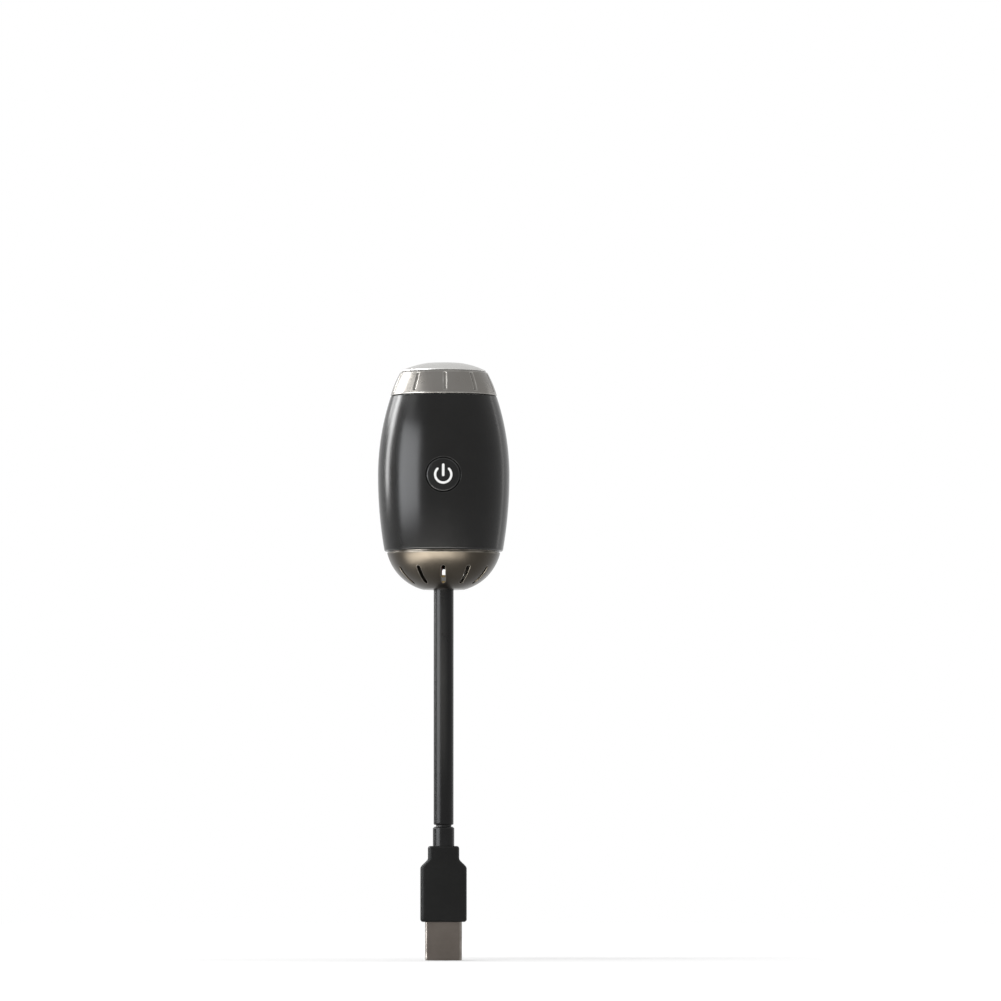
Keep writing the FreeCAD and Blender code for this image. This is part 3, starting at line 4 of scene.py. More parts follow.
import bmesh
import bpy
import numpy as np
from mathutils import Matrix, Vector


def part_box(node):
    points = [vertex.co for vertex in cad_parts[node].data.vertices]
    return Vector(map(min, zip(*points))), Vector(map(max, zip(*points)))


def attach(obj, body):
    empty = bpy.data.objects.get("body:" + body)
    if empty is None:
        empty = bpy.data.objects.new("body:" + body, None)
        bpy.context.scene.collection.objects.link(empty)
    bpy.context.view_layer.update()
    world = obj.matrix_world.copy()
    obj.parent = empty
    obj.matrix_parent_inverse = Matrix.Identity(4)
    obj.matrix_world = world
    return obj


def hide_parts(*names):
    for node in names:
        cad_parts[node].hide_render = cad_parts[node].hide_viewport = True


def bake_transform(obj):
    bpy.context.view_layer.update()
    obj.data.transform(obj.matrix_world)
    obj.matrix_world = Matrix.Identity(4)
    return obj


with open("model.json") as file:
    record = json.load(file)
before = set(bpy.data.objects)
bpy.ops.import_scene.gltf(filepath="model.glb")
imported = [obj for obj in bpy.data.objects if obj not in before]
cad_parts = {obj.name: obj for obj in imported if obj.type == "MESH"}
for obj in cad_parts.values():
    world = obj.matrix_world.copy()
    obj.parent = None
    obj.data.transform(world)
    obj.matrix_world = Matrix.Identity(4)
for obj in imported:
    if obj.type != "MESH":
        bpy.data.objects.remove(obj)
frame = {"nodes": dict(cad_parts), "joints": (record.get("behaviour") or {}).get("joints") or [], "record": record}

# Planetarium projector on a bendable neck. Shapes are worked out in millimetres in the row
# frame and put into the meshes in metres. Angles round the axis start at the front, -Y.

MM = 0.001
TAU = 2 * math.pi
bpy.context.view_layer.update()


def levels(node):
    """Lowest and highest level of a CAD node, in millimetres."""
    low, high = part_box(node)
    return low[2] / MM, high[2] / MM


def reach(node):
    """Largest radius of a round CAD node about the Z axis, in millimetres."""
    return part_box(node)[1][0] / MM


# Camera, floor and light

PIXELS_PER_MM = 3.06
FRAME_PIXELS = 1001
AXIS_PIXEL = 443.7
SHOULDER_PIXEL = 921.3
CAMERA_DISTANCE = 2500.0
CAMERA_DROP = 131.0
SENSOR = 36.0
FLOOR_LEVEL = levels("plug_shell")[0] - 0.1
FLOOR_RADIUS = 4000.0


def add_camera():
    """The lens looks slightly upwards at the middle of the photograph's frame."""
    middle_x = (FRAME_PIXELS / 2 - AXIS_PIXEL) / PIXELS_PER_MM
    middle_z = (SHOULDER_PIXEL - FRAME_PIXELS / 2) / PIXELS_PER_MM
    camera = bpy.data.objects.new("camera", bpy.data.cameras.new("camera"))
    bpy.context.scene.collection.objects.link(camera)
    camera.location = (middle_x * MM, -CAMERA_DISTANCE * MM, (middle_z - CAMERA_DROP) * MM)
    camera.rotation_euler = (math.pi / 2 + math.atan(CAMERA_DROP / CAMERA_DISTANCE), 0, 0)
    camera.data.sensor_width = SENSOR
    away = math.hypot(CAMERA_DISTANCE, CAMERA_DROP)
    camera.data.lens = SENSOR * away / (FRAME_PIXELS / PIXELS_PER_MM)
    camera.data.clip_end = 50
    bpy.context.scene.camera = camera


def add_lamp(name, azimuth, elevation, distance, width, height, radiance, colour, level=145,
             gloss_only=True, spread=180):
    """A panel aimed at the axis. Azimuth 0 is the front and 90 the right-hand side.

    A gloss lamp makes highlights only, so that the plain level of the light stays as it is.
    A panel with a grid has a spread of fewer degrees: radiance is what it has straight ahead,
    and it falls as 1 - tan(angle) / tan(spread / 2).
    """
    turn, rise = math.radians(azimuth), math.radians(elevation)
    target = np.array([0, 0, level * MM])
    way = np.array([math.sin(turn) * math.cos(rise), -math.cos(turn) * math.cos(rise),
                    math.sin(rise)])
    light = bpy.data.lights.new(name, "AREA")
    light.shape = "RECTANGLE"
    light.size, light.size_y = width, height
    light.energy = radiance * math.pi * width * height
    if spread < 180:
        half = math.radians(spread) / 2
        light.spread = half * 2
        light.energy *= 1 - half / math.tan(half)
    light.color = colour
    lamp = bpy.data.objects.new(name, light)
    lamp.location = target + way * distance
    lamp.rotation_euler = (math.pi / 2 - rise, 0, turn)
    lamp.visible_camera = False
    lamp.visible_diffuse = not gloss_only
    lamp.visible_glossy = gloss_only
    bpy.context.scene.collection.objects.link(lamp)


def combine(nodes, links, operation, first, second):
    """Output of a maths node on two sockets."""
    node = nodes.new("ShaderNodeMath")
    node.operation = operation
    links.new(first, node.inputs[0])
    links.new(second, node.inputs[1])
    return node.outputs[0]


def map_range(nodes, links, source, to_min, to_max, from_min=0.0, from_max=1.0):
    """Output of a node that maps a socket from one range to another and keeps it inside."""
    node = nodes.new("ShaderNodeMapRange")
    for label, value in (("From Min", from_min), ("From Max", from_max), ("To Min", to_min),
                         ("To Max", to_max)):
        node.inputs[label].default_value = value
    links.new(source, node.inputs["Value"])
    return node.outputs[0]


def looked_at(nodes, links):
    """1 where the camera, gloss or glass looks, and 0 where light only falls."""
    rays = nodes.new("ShaderNodeLightPath").outputs
    either = combine(nodes, links, "MAXIMUM", rays["Is Camera Ray"], rays["Is Glossy Ray"])
    return combine(nodes, links, "MAXIMUM", either, rays["Is Transmission Ray"])


def add_world():
    """White where the camera, gloss or glass looks at it, and a plain grey light otherwise."""
    white, grey_light = 1.0, 0.68
    world = bpy.data.worlds.new("studio")
    bpy.context.scene.world = world
    world.use_nodes = True
    nodes, links = world.node_tree.nodes, world.node_tree.links
    background = nodes["Background"]
    background.inputs["Color"].default_value = (1, 1, 1, 1)
    strength = map_range(nodes, links, looked_at(nodes, links), grey_light, white)
    links.new(strength, background.inputs["Strength"])


def add_floor():
    """A pale disc just under the plug.

    What the light leaves short of white, which grows with the distance from the object, is added
    for the eye alone, so that the floor is white and keeps the object's shadow.
    """
    columns, grey = 96, 0.84
    missing_near, missing_far, far = 0.05, 0.44, 0.5
    turn = np.linspace(0, TAU, columns, endpoint=False)
    rim = np.stack([FLOOR_RADIUS * np.cos(turn), FLOOR_RADIUS * np.sin(turn),
                    np.full(columns, FLOOR_LEVEL)], axis=1)
    mesh = bpy.data.meshes.new("floor")
    mesh.from_pydata((rim * MM).tolist(), [], [list(range(columns))])
    floor = bpy.data.objects.new("floor", mesh)
    bpy.context.scene.collection.objects.link(floor)
    material = bpy.data.materials.new("pale_floor")
    material.use_nodes = True
    nodes, links = material.node_tree.nodes, material.node_tree.links
    shader = nodes["Principled BSDF"]
    shader.inputs["Base Color"].default_value = (grey, grey, grey, 1)
    shader.inputs["Roughness"].default_value = 0.9
    shader.inputs["Specular IOR Level"].default_value = 0.0
    shader.inputs["Emission Color"].default_value = (1, 1, 1, 1)
    place = nodes.new("ShaderNodeNewGeometry")
    away = nodes.new("ShaderNodeVectorMath")
    away.operation = "LENGTH"
    links.new(place.outputs["Position"], away.inputs[0])
    missing = map_range(nodes, links, away.outputs["Value"], missing_near, missing_far, from_max=far)
    lift = combine(nodes, links, "MULTIPLY", looked_at(nodes, links), missing)
    links.new(lift, shader.inputs["Emission Strength"])
    floor.data.materials.append(material)


add_camera()
add_world()
add_floor()
add_lamp("strip_left", -116, 19, 0.95, 0.16, 0.66, 17.0, (1.0, 1.0, 1.0))
add_lamp("softbox_left", -64, 1, 1.1, 0.8, 0.85, 12.5, (0.95, 0.97, 1.0))
add_lamp("window_behind_left", -124, 24, 1.0, 0.55, 0.36, 6.0, (1.0, 1.0, 1.0))
add_lamp("window_high_left", -84, 36, 1.0, 0.6, 0.32, 2.4, (1.0, 1.0, 0.99))
add_lamp("strip_right", 128, 5, 1.0, 0.1, 0.6, 1.6, (1.0, 0.99, 0.97))
TABLE_GLOW = ((-72, 20.0), (-46, 30.0), (-20, 26.0), (6, 22.0), (32, 10.0))
for number, (azimuth, radiance) in enumerate(TABLE_GLOW, start=1):
    add_lamp(f"table_glow_{number}", azimuth, -28, 0.13, 0.06, 0.045, radiance,
             (1.0, 0.97, 0.92), level=119, spread=56)
add_lamp("key_above", -25, 52, 1.2, 0.6, 0.5, 9.0, (1.0, 1.0, 1.0), gloss_only=False)
bpy.context.scene.view_settings.view_transform = "Standard"


# Meshes from grids of points

def grid_quads(rows, columns, start):
    """Indices of the quads of a grid whose points are numbered row by row."""
    corner = np.arange(rows - 1)[:, None] * columns + np.arange(columns - 1)[None, :] + start
    return np.stack([corner, corner + 1, corner + columns + 1, corner + columns], -1).reshape(-1, 4)


WELD_DISTANCE = 2e-5
LEAST_STEP = 0.02
EDGE_START, EDGE_SPAN = 0.4, 2.0


def weld(grids):
    """Points and faces of the grids together: equal points become one, empty faces go.

    A grid is (rows, columns, 3), and a batch of single cells is (cells, 2, 2, 3).
    """
    points = np.concatenate([grid.reshape(-1, 3) for grid in grids])
    quads = []
    start = 0
    for grid in grids:
        if grid.ndim == 4:
            quads.append(np.arange(len(grid))[:, None] * 4 + np.array([0, 1, 3, 2]) + start)
        else:
            quads.append(grid_quads(grid.shape[0], grid.shape[1], start))
        start += grid.size // 3
    key = np.round(points / WELD_DISTANCE).astype(np.int64)
    _, first, number = np.unique(key, axis=0, return_index=True, return_inverse=True)
    quads = number.reshape(-1)[np.concatenate(quads)]
    same = quads == np.roll(quads, -1, axis=1)
    whole = quads[same.sum(axis=1) == 0]
    pinched = quads[same.sum(axis=1) == 1]
    kept = ~same[same.sum(axis=1) == 1]
    triangles = pinched[kept].reshape(-1, 3)
    return points[first], whole.tolist() + triangles.tolist()


def edge_mask(mesh):
    """For each vertex, how tightly the surface bends outwards there: 0 flat, 1 at a small edge.

    The bend is the angle between two neighbouring faces over the distance of their middles, in
    radians per millimetre, and the mask is (bend - start) / span, kept between 0 and 1.
    """
    loops, faces = len(mesh.loops), len(mesh.polygons)
    edge_of_loop = np.empty(loops, np.int32)
    mesh.loops.foreach_get("edge_index", edge_of_loop)
    starts = np.empty(faces, np.int32)
    mesh.polygons.foreach_get("loop_start", starts)
    face_of_loop = np.zeros(loops, np.int32)
    face_of_loop[starts] = 1
    face_of_loop = np.cumsum(face_of_loop) - 1
    normals = np.empty(faces * 3)
    centres = np.empty(faces * 3)
    mesh.polygons.foreach_get("normal", normals)
    mesh.polygons.foreach_get("center", centres)
    normals, centres = normals.reshape(-1, 3), centres.reshape(-1, 3)
    order = np.argsort(edge_of_loop, kind="stable")
    edges, faces_there = edge_of_loop[order], face_of_loop[order]
    pair = np.nonzero(edges[1:] == edges[:-1])[0]
    one, two = faces_there[pair], faces_there[pair + 1]
    apart = centres[two] - centres[one]
    cosine = np.clip((normals[one] * normals[two]).sum(1), -1, 1)
    outward = (apart * normals[one]).sum(1) < 0
    step = np.maximum(np.linalg.norm(apart, axis=1) / MM, LEAST_STEP)
    bend = np.arccos(cosine) / step * outward
    ends = np.empty(len(mesh.edges) * 2, np.int32)
    mesh.edges.foreach_get("vertices", ends)
    ends = ends.reshape(-1, 2)[edges[pair]]
    value = np.zeros(len(mesh.vertices))
    np.maximum.at(value, ends[:, 0], bend)
    np.maximum.at(value, ends[:, 1], bend)
    return np.clip((value - EDGE_START) / EDGE_SPAN, 0, 1)


def skin(name, grids, material, body=None, replaces=(), sharp=38):
    """A closed piece from grids of points in millimetres. Without a body it is attached to none."""
    points, faces = weld(grids)
    mesh = bpy.data.meshes.new(name)
    mesh.from_pydata((points * MM).tolist(), [], faces)
    work = bmesh.new()
    work.from_mesh(mesh)
    bmesh.ops.recalc_face_normals(work, faces=work.faces)
    open_edges = sum(1 for edge in work.edges if not edge.is_manifold)
    work.to_mesh(mesh)
    work.free()
    if open_edges:
        print(f"{name} has {open_edges} open edges")
    mesh.shade_smooth()
    mesh.set_sharp_from_angle(angle=math.radians(sharp))
    edge = mesh.attributes.new("edge", "FLOAT", "POINT")
    edge.data.foreach_set("value", edge_mask(mesh).astype(np.float32))
    mesh.materials.append(materials[material])
    piece = bpy.data.objects.new(name, mesh)
    bpy.context.scene.collection.objects.link(piece)
    if body:
        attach(piece, body)
    if replaces:
        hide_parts(*replaces)
    return piece


def arc(start, end, radius, count, left=True):
    """Points centre + radius * (cos t, sin t) along the shorter arc from start to end.

    The centre lies to the left or right of the way along, sqrt(radius^2 - half_chord^2) from
    the chord's middle.
    """
    start, end = np.array(start, float), np.array(end, float)
    half = np.linalg.norm(end - start) / 2
    along = (end - start) / (2 * half)
    side = np.array([-along[1], along[0]]) * (1 if left else -1)
    centre = (start + end) / 2 + side * math.sqrt(max(radius * radius - half * half, 0))
    first = math.atan2(*(start - centre)[::-1])
    last = math.atan2(*(end - centre)[::-1])
    sweep = (last - first) % TAU if left else -((first - last) % TAU)
    turn = first + sweep * np.linspace(0, 1, count)
    return centre + radius * np.stack([np.cos(turn), np.sin(turn)], axis=1)


def rounded(parts, closed=True, steps=6):
    """A line through the parts. A part is x, y, or x, y, radius for a rounded corner, or an arc.

    A rounded corner begins and ends at radius / tan(half its angle) from the corner.
    """
    corners = []
    for part in parts:
        part = np.array(part, float)
        if part.ndim == 2:
            corners += [(x, y, 0.0) for x, y in part]
        else:
            corners.append((part[0], part[1], part[2] if len(part) == 3 else 0.0))
    line = []
    for number, (x, y, radius) in enumerate(corners):
        spot = np.array([x, y])
        if not radius:
            line.append(spot)
            continue
        before = np.array(corners[number - 1][:2]) - spot
        after = np.array(corners[(number + 1) % len(corners)][:2]) - spot
        before /= np.linalg.norm(before)
        after /= np.linalg.norm(after)
        half_corner = math.acos(np.clip(before @ after, -1, 1)) / 2
        trim = radius / math.tan(half_corner)
        turns_left = before[0] * after[1] - before[1] * after[0] < 0
        line += list(arc(spot + before * trim, spot + after * trim, radius, steps, turns_left))
    if closed:
        line.append(line[0])
    return np.array(line)


def around(radius, level, turn):
    """Points (r sin t, -r cos t, z) at a radius r, a level z and an angle t from the front."""
    radius, level, turn = np.broadcast_arrays(radius, level, turn)
    return np.stack([radius * np.sin(turn), -radius * np.cos(turn), level], axis=-1)


def full_turn(columns):
    """Angles once round from the back, so that the front is a column."""
    return np.linspace(-math.pi, math.pi, columns + 1)


def lathe(line, columns=128):
    """Surface of revolution (r(u) sin t, -r(u) cos t, z(u)) of a line of radius and level."""
    line = np.asarray(line)
    return around(line[:, 0][:, None], line[:, 1][:, None], full_turn(columns)[None, :])


# Materials

def start_group(name, inputs, output_names):
    """An empty node group, its nodes and links, and the sockets of its input and output nodes."""
    group = bpy.data.node_groups.new(name, "ShaderNodeTree")
    for label, kind, value in inputs:
        socket = group.interface.new_socket(name=label, in_out="INPUT", socket_type=f"NodeSocket{kind}")
        if value is not None:
            socket.default_value = value
    for label in output_names:
        group.interface.new_socket(name=label, in_out="OUTPUT", socket_type="NodeSocketFloat")
    inside = group.nodes.new("NodeGroupInput").outputs
    outside = group.nodes.new("NodeGroupOutput").inputs
    return group, group.nodes, group.links, inside, outside


def noise_at(nodes, links, place, scale, detail):
    """A noise node that reads a place. Its scale is a number or a socket."""
    noise = nodes.new("ShaderNodeTexNoise")
    noise.inputs["Detail"].default_value = detail
    links.new(place, noise.inputs["Vector"])
    if isinstance(scale, (int, float)):
        noise.inputs["Scale"].default_value = scale
    else:
        links.new(scale, noise.inputs["Scale"])
    return noise


def make_grain_group():
    """Fine grain as a height, and slow mottling as a mask, both from noise on the object."""
    low, high, roughness = 0.3, 0.7, 0.6
    group, nodes, links, inside, outside = start_group("moulded_grain", [
        ("Place", "Vector", None), ("Grains per metre", "Float", 4000.0),
        ("Clouds per metre", "Float", 40.0)], ["Height", "Clouds"])
    for source, detail, target in (("Grains per metre", 3, "Height"), ("Clouds per metre", 5, "Clouds")):
        noise = noise_at(nodes, links, inside["Place"], inside[source], detail)
        noise.inputs["Roughness"].default_value = roughness
        contrast = map_range(nodes, links, noise.outputs["Fac"], 0.0, 1.0, low, high)
        links.new(contrast, outside[target])
    return group


def make_turning_group():
    """Fine rings left by turning: noise of (sqrt(x^2 + y^2), 0, z), so of radius and level only."""
    group, nodes, links, inside, outside = start_group("turning_marks", [
        ("Place", "Vector", None), ("Rings per metre", "Float", 6000.0)], ["Height"])
    apart = nodes.new("ShaderNodeSeparateXYZ")
    links.new(inside["Place"], apart.inputs[0])
    flat = nodes.new("ShaderNodeCombineXYZ")
    for axis in "XY":
        links.new(apart.outputs[axis], flat.inputs[axis])
    radius = nodes.new("ShaderNodeVectorMath")
    radius.operation = "LENGTH"
    links.new(flat.outputs[0], radius.inputs[0])
    spot = nodes.new("ShaderNodeCombineXYZ")
    links.new(radius.outputs["Value"], spot.inputs["X"])
    links.new(apart.outputs["Z"], spot.inputs["Z"])
    noise = noise_at(nodes, links, spot.outputs[0], inside["Rings per metre"], 2)
    links.new(noise.outputs["Fac"], outside["Height"])
    return group


def make_wear_and_highlight_group():
    """Mask of scuffed edges that also carry a painted highlight: edge * patches * amount, the patches being noise
    between 0.25 and 1.
    """
    low, high, least = 0.38, 0.62, 0.25
    group, nodes, links, inside, outside = start_group("rubbed_and_highlit_edges", [
        ("Place", "Vector", None), ("Edge", "Float", 0.0), ("Amount", "Float", 0.5)], ["Mask"])
    noise = noise_at(nodes, links, inside["Place"], 260, 4)
    patchy = map_range(nodes, links, noise.outputs["Fac"], least, 1.0, low, high)
    rubbed_and_highlit = combine(nodes, links, "MULTIPLY", inside["Edge"], patchy)
    links.new(combine(nodes, links, "MULTIPLY", rubbed_and_highlit, inside["Amount"]), outside["Mask"])
    return group


grain_group = make_grain_group()
turning_group = make_turning_group()
wear_and_highlight_group = make_wear_and_highlight_group()
BUMP_DISTANCE = 0.0002
materials = {}


def finish(name, colour, cloud_colour, roughness, metallic=0.0, ior=1.45, grain=0.02,
           grains=5000.0, clouds=60.0, rings=0.0, rings_per_metre=7000.0,
           worn_and_highlit_colour=None, wear_and_highlight=0.0, roughness_swing=0.06, shine=0.5, transmission=0.0):
    """A Principled material whose colour drifts with clouds and whose bump is grain or rings. Its tight outward
    edges can be lightened, as scuffing and as a painted highlight.
    """
    material = bpy.data.materials.new(name)
    material.use_nodes = True
    nodes, links = material.node_tree.nodes, material.node_tree.links
    shader = nodes["Principled BSDF"]
    shader.inputs["Metallic"].default_value = metallic
    shader.inputs["IOR"].default_value = ior
    shader.inputs["Transmission Weight"].default_value = transmission
    shader.inputs["Specular IOR Level"].default_value = shine
    place = nodes.new("ShaderNodeTexCoord").outputs["Object"]
    surface = nodes.new("ShaderNodeGroup")
    surface.node_tree = grain_group
    surface.inputs["Grains per metre"].default_value = grains
    surface.inputs["Clouds per metre"].default_value = clouds
    links.new(place, surface.inputs["Place"])
    tint = nodes.new("ShaderNodeMix")
    tint.data_type = "RGBA"
    tint.inputs["A"].default_value = (*colour, 1)
    tint.inputs["B"].default_value = (*cloud_colour, 1)
    links.new(surface.outputs["Clouds"], tint.inputs["Factor"])
    shade = tint.outputs["Result"]
    # Tight outward edges are lightened towards the second colour: partly scuffing, partly a painted highlight.
    if wear_and_highlight:
        edge = nodes.new("ShaderNodeAttribute")
        edge.attribute_name = "edge"
        rubbed_and_highlit = nodes.new("ShaderNodeGroup")
        rubbed_and_highlit.node_tree = wear_and_highlight_group
        rubbed_and_highlit.inputs["Amount"].default_value = wear_and_highlight
        links.new(place, rubbed_and_highlit.inputs["Place"])
        links.new(edge.outputs["Fac"], rubbed_and_highlit.inputs["Edge"])
        worn_and_highlit = nodes.new("ShaderNodeMix")
        worn_and_highlit.data_type = "RGBA"
        worn_and_highlit.inputs["B"].default_value = (*worn_and_highlit_colour, 1)
        links.new(shade, worn_and_highlit.inputs["A"])
        links.new(rubbed_and_highlit.outputs["Mask"], worn_and_highlit.inputs["Factor"])
        shade = worn_and_highlit.outputs["Result"]
    links.new(shade, shader.inputs["Base Color"])
    gloss = map_range(nodes, links, surface.outputs["Clouds"], roughness - roughness_swing / 2,
                      roughness + roughness_swing / 2)
    links.new(gloss, shader.inputs["Roughness"])
    bump = nodes.new("ShaderNodeBump")
    bump.inputs["Strength"].default_value = rings or grain
    bump.inputs["Distance"].default_value = BUMP_DISTANCE
    if rings:
        turned = nodes.new("ShaderNodeGroup")
        turned.node_tree = turning_group
        turned.inputs["Rings per metre"].default_value = rings_per_metre
        links.new(place, turned.inputs["Place"])
        links.new(turned.outputs["Height"], bump.inputs["Height"])
    else:
        links.new(surface.outputs["Height"], bump.inputs["Height"])
    links.new(bump.outputs["Normal"], shader.inputs["Normal"])
    materials[name] = material


# The lighter edge colours below are scuffing and a painted highlight together, such as the ring's light lip.
finish("shell_plastic", (0.006, 0.0058, 0.0055), (0.009, 0.0088, 0.0085), 0.21, shine=0.2,
       grain=0.015, grains=9000, wear_and_highlight=0.35, worn_and_highlit_colour=(0.05, 0.05, 0.05))
finish("button_plastic", (0.007, 0.007, 0.0068), (0.01, 0.01, 0.0098), 0.26, shine=0.2,
       grain=0.015, grains=9000, wear_and_highlight=0.5, worn_and_highlit_colour=(0.08, 0.08, 0.08))
finish("symbol_print", (0.83, 0.83, 0.82), (0.76, 0.76, 0.75), 0.5, grain=0.02)
finish("ring_metal", (0.165, 0.156, 0.144), (0.187, 0.179, 0.168), 0.28, metallic=1.0,
       rings=0.05, wear_and_highlight=0.8, worn_and_highlit_colour=(0.42, 0.41, 0.39))
finish("cap_plastic", (0.034, 0.029, 0.023), (0.048, 0.042, 0.034), 0.3, metallic=1.0,
       rings=0.03, wear_and_highlight=0.8, worn_and_highlit_colour=(0.25, 0.23, 0.2))
finish("bezel_plastic", (0.47, 0.465, 0.45), (0.54, 0.535, 0.52), 0.36, metallic=0.85,
       rings=0.02, wear_and_highlight=0.3, worn_and_highlit_colour=(0.8, 0.79, 0.77))
finish("window_clear", (0.92, 0.95, 0.97), (0.9, 0.94, 0.97), 0.06, ior=1.49, grain=0.002,
       transmission=1.0, roughness_swing=0.02)
finish("overmould_plastic", (0.005, 0.005, 0.0047), (0.009, 0.009, 0.0085), 0.5, shine=0.15,
       grain=0.12, grains=6500, wear_and_highlight=0.3, worn_and_highlit_colour=(0.05, 0.05, 0.05))
finish("collar_metal", (0.004, 0.004, 0.004), (0.007, 0.007, 0.007), 0.26, shine=0.18, grain=0.02,
       wear_and_highlight=0.6, worn_and_highlit_colour=(0.1, 0.1, 0.1))
finish("sleeve_rubber", (0.004, 0.004, 0.004), (0.006, 0.006, 0.006), 0.28, shine=0.18,
       grain=0.04, grains=5000)
finish("plug_metal", (0.1, 0.086, 0.075), (0.125, 0.109, 0.096), 0.34, metallic=1.0,
       grain=0.03, grains=7000, clouds=120, wear_and_highlight=0.9, worn_and_highlit_colour=(0.42, 0.39, 0.36))
finish("core_metal", (0.02, 0.02, 0.02), (0.035, 0.035, 0.034), 0.4, metallic=1.0)
finish("lead_jacket", (0.42, 0.03, 0.025), (0.5, 0.04, 0.03), 0.45)
finish("tongue_plastic", (0.75, 0.75, 0.73), (0.7, 0.7, 0.68), 0.45, grain=0.06)
finish("contact_metal", (0.8, 0.58, 0.22), (0.86, 0.64, 0.28), 0.24, metallic=1.0)
finish("ferrule_metal", (0.6, 0.44, 0.19), (0.68, 0.5, 0.24), 0.3, metallic=1.0)
finish("clamp_metal", (0.45, 0.45, 0.44), (0.52, 0.52, 0.51), 0.36, metallic=1.0)
finish("screw_metal", (0.5, 0.5, 0.48), (0.58, 0.57, 0.54), 0.3, metallic=1.0)
finish("washer_plastic", (0.6, 0.6, 0.57), (0.66, 0.66, 0.63), 0.45)
finish("drag_rubber", (0.015, 0.015, 0.015), (0.022, 0.022, 0.022), 0.6, grain=0.1)
finish("sink_metal", (0.56, 0.56, 0.56), (0.64, 0.64, 0.64), 0.38, metallic=1.0)
finish("board_laminate", (0.012, 0.13, 0.04), (0.016, 0.17, 0.055), 0.4, grain=0.05)
finish("emitter_resin", (0.85, 0.66, 0.16), (0.9, 0.74, 0.24), 0.15, grain=0.01)
finish("tube_plastic", (0.02, 0.02, 0.02), (0.03, 0.03, 0.03), 0.5, grain=0.08)
finish("lens_glass", (0.93, 0.97, 0.98), (0.95, 0.98, 0.99), 0.03, ior=1.52, grain=0.001,
       transmission=1.0, roughness_swing=0.01)
finish("film", (0.01, 0.012, 0.05), (0.03, 0.035, 0.1), 0.2, grain=0.02, clouds=900)
finish("pin_metal", (0.6, 0.45, 0.2), (0.68, 0.52, 0.25), 0.28, metallic=1.0)
finish("switch_plastic", (0.03, 0.03, 0.03), (0.045, 0.045, 0.045), 0.42, grain=0.05)
finish("chip_resin", (0.015, 0.015, 0.016), (0.022, 0.022, 0.022), 0.55, grain=0.15)
finish("coil_body", (0.05, 0.05, 0.052), (0.07, 0.07, 0.07), 0.5, grain=0.12)
finish("capacitor_body", (0.42, 0.25, 0.09), (0.5, 0.31, 0.12), 0.4, grain=0.04)


def dress_cad_nodes():
    """Each CAD node takes the material of its slot in the record."""
    for part in frame["record"]["subparts"]:
        node = frame["nodes"][part["node"]]
        node.data.materials.clear()
        node.data.materials.append(materials[part["material_slot"]])


# Head: levels and curves that repeat the part's

shell_foot, shell_top = levels("body_shell")
head_radius = reach("body_shell")
head_foot = levels("base_cap")[0]
waist_rise = 24.7
waist = shell_foot + waist_rise
shell_foot_radius = 19.3
shell_top_radius = reach("focus_ring")
seam_gap = 0.4
cap_rim = shell_foot - seam_gap
cap_rim_radius = 18.5
bead_level = cap_rim + 2.34
shell_wall = 1.8
button_level = sum(levels("power_button")) / 2
button_radius = 5.5
button_gap = 0.2


def barrel_curve(end_radius, height):
    """Radius (inset^2 + height^2) / (2 inset) of the arc that stands upright at the waist."""
    inset = head_radius - end_radius
    return (inset * inset + height * height) / (2 * inset)


LOWER_CURVE = barrel_curve(shell_foot_radius, waist - shell_foot)
UPPER_CURVE = barrel_curve(shell_top_radius, shell_top - waist)


def barrel(level, offset=0.0):
    """Radius R - c + sqrt((c + offset)^2 - (z - waist)^2) of the barrel at a level z.

    R is the widest radius and c the curve's, one below the waist and another above it.
    """
    level = np.asarray(level, float)
    curve = np.where(level < waist, LOWER_CURVE, UPPER_CURVE)
    return head_radius - curve + np.sqrt((curve + offset) ** 2 - (level - waist) ** 2)


def frame_of(low_u, high_u, low_v, high_v, count_u, count_v):
    """Points round a rectangle, anticlockwise from its lower left corner, first point repeated."""
    u = np.linspace(low_u, high_u, count_u + 1)
    v = np.linspace(low_v, high_v, count_v + 1)
    foot = np.stack([u, np.full_like(u, low_v)], 1)[:-1]
    right = np.stack([np.full_like(v, high_u), v], 1)[:-1]
    top = np.stack([u[::-1], np.full_like(u, high_v)], 1)[:-1]
    left = np.stack([np.full_like(v, low_u), v[::-1]], 1)
    return np.concatenate([foot, right, top, left])


SHELL_COLUMNS = 240
OPENING_LIP = 0.25


def shell_side(offset, low, high):
    """One face of the shell's wall as grids, with a round opening at the button, and its rim.

    The wall is (r(z) sin t, -r(z) cos t, z) with r(z) = barrel(z). Round the button a square
    block of it is drawn again as (x, -sqrt(r(z)^2 - x^2), z), where x and z run straight from
    the opening's circle to the block's border.
    """
    half_block, step = 13, 0.55
    turn = full_turn(SHELL_COLUMNS)
    front = SHELL_COLUMNS // 2
    block_low, block_high = button_level - half_block * step, button_level + half_block * step
    below = np.linspace(low, block_low, 22)
    above = np.linspace(block_high, high, 26)
    rows = np.linspace(block_low, block_high, 2 * half_block + 1)
    left, right = front - half_block, front + half_block
    grids = [around(barrel(level, offset)[:, None], level[:, None], turn[None, :])
             for level in (below, above)]
    for some in (turn[:left + 1], turn[right:]):
        grids.append(around(barrel(rows, offset)[:, None], rows[:, None], some[None, :]))
    border = frame_of(turn[left], turn[right], block_low, block_high, 2 * half_block, 2 * half_block)
    border_x = barrel(border[:, 1], offset) * np.sin(border[:, 0])
    border_z = border[:, 1] - button_level
    away = np.arctan2(border_z, border_x)
    hole = button_radius + button_gap
    lip = OPENING_LIP if offset == 0 else 0.0
    share = np.linspace(0, 1, 9)[:, None] ** 1.3
    x = (hole + lip) * np.cos(away) * (1 - share) + border_x * share
    z = (hole + lip) * np.sin(away) * (1 - share) + border_z * share + button_level
    grids.append(np.stack([x, -np.sqrt(barrel(z, offset) ** 2 - x * x), z], -1))
    return grids, (away, hole, lip)


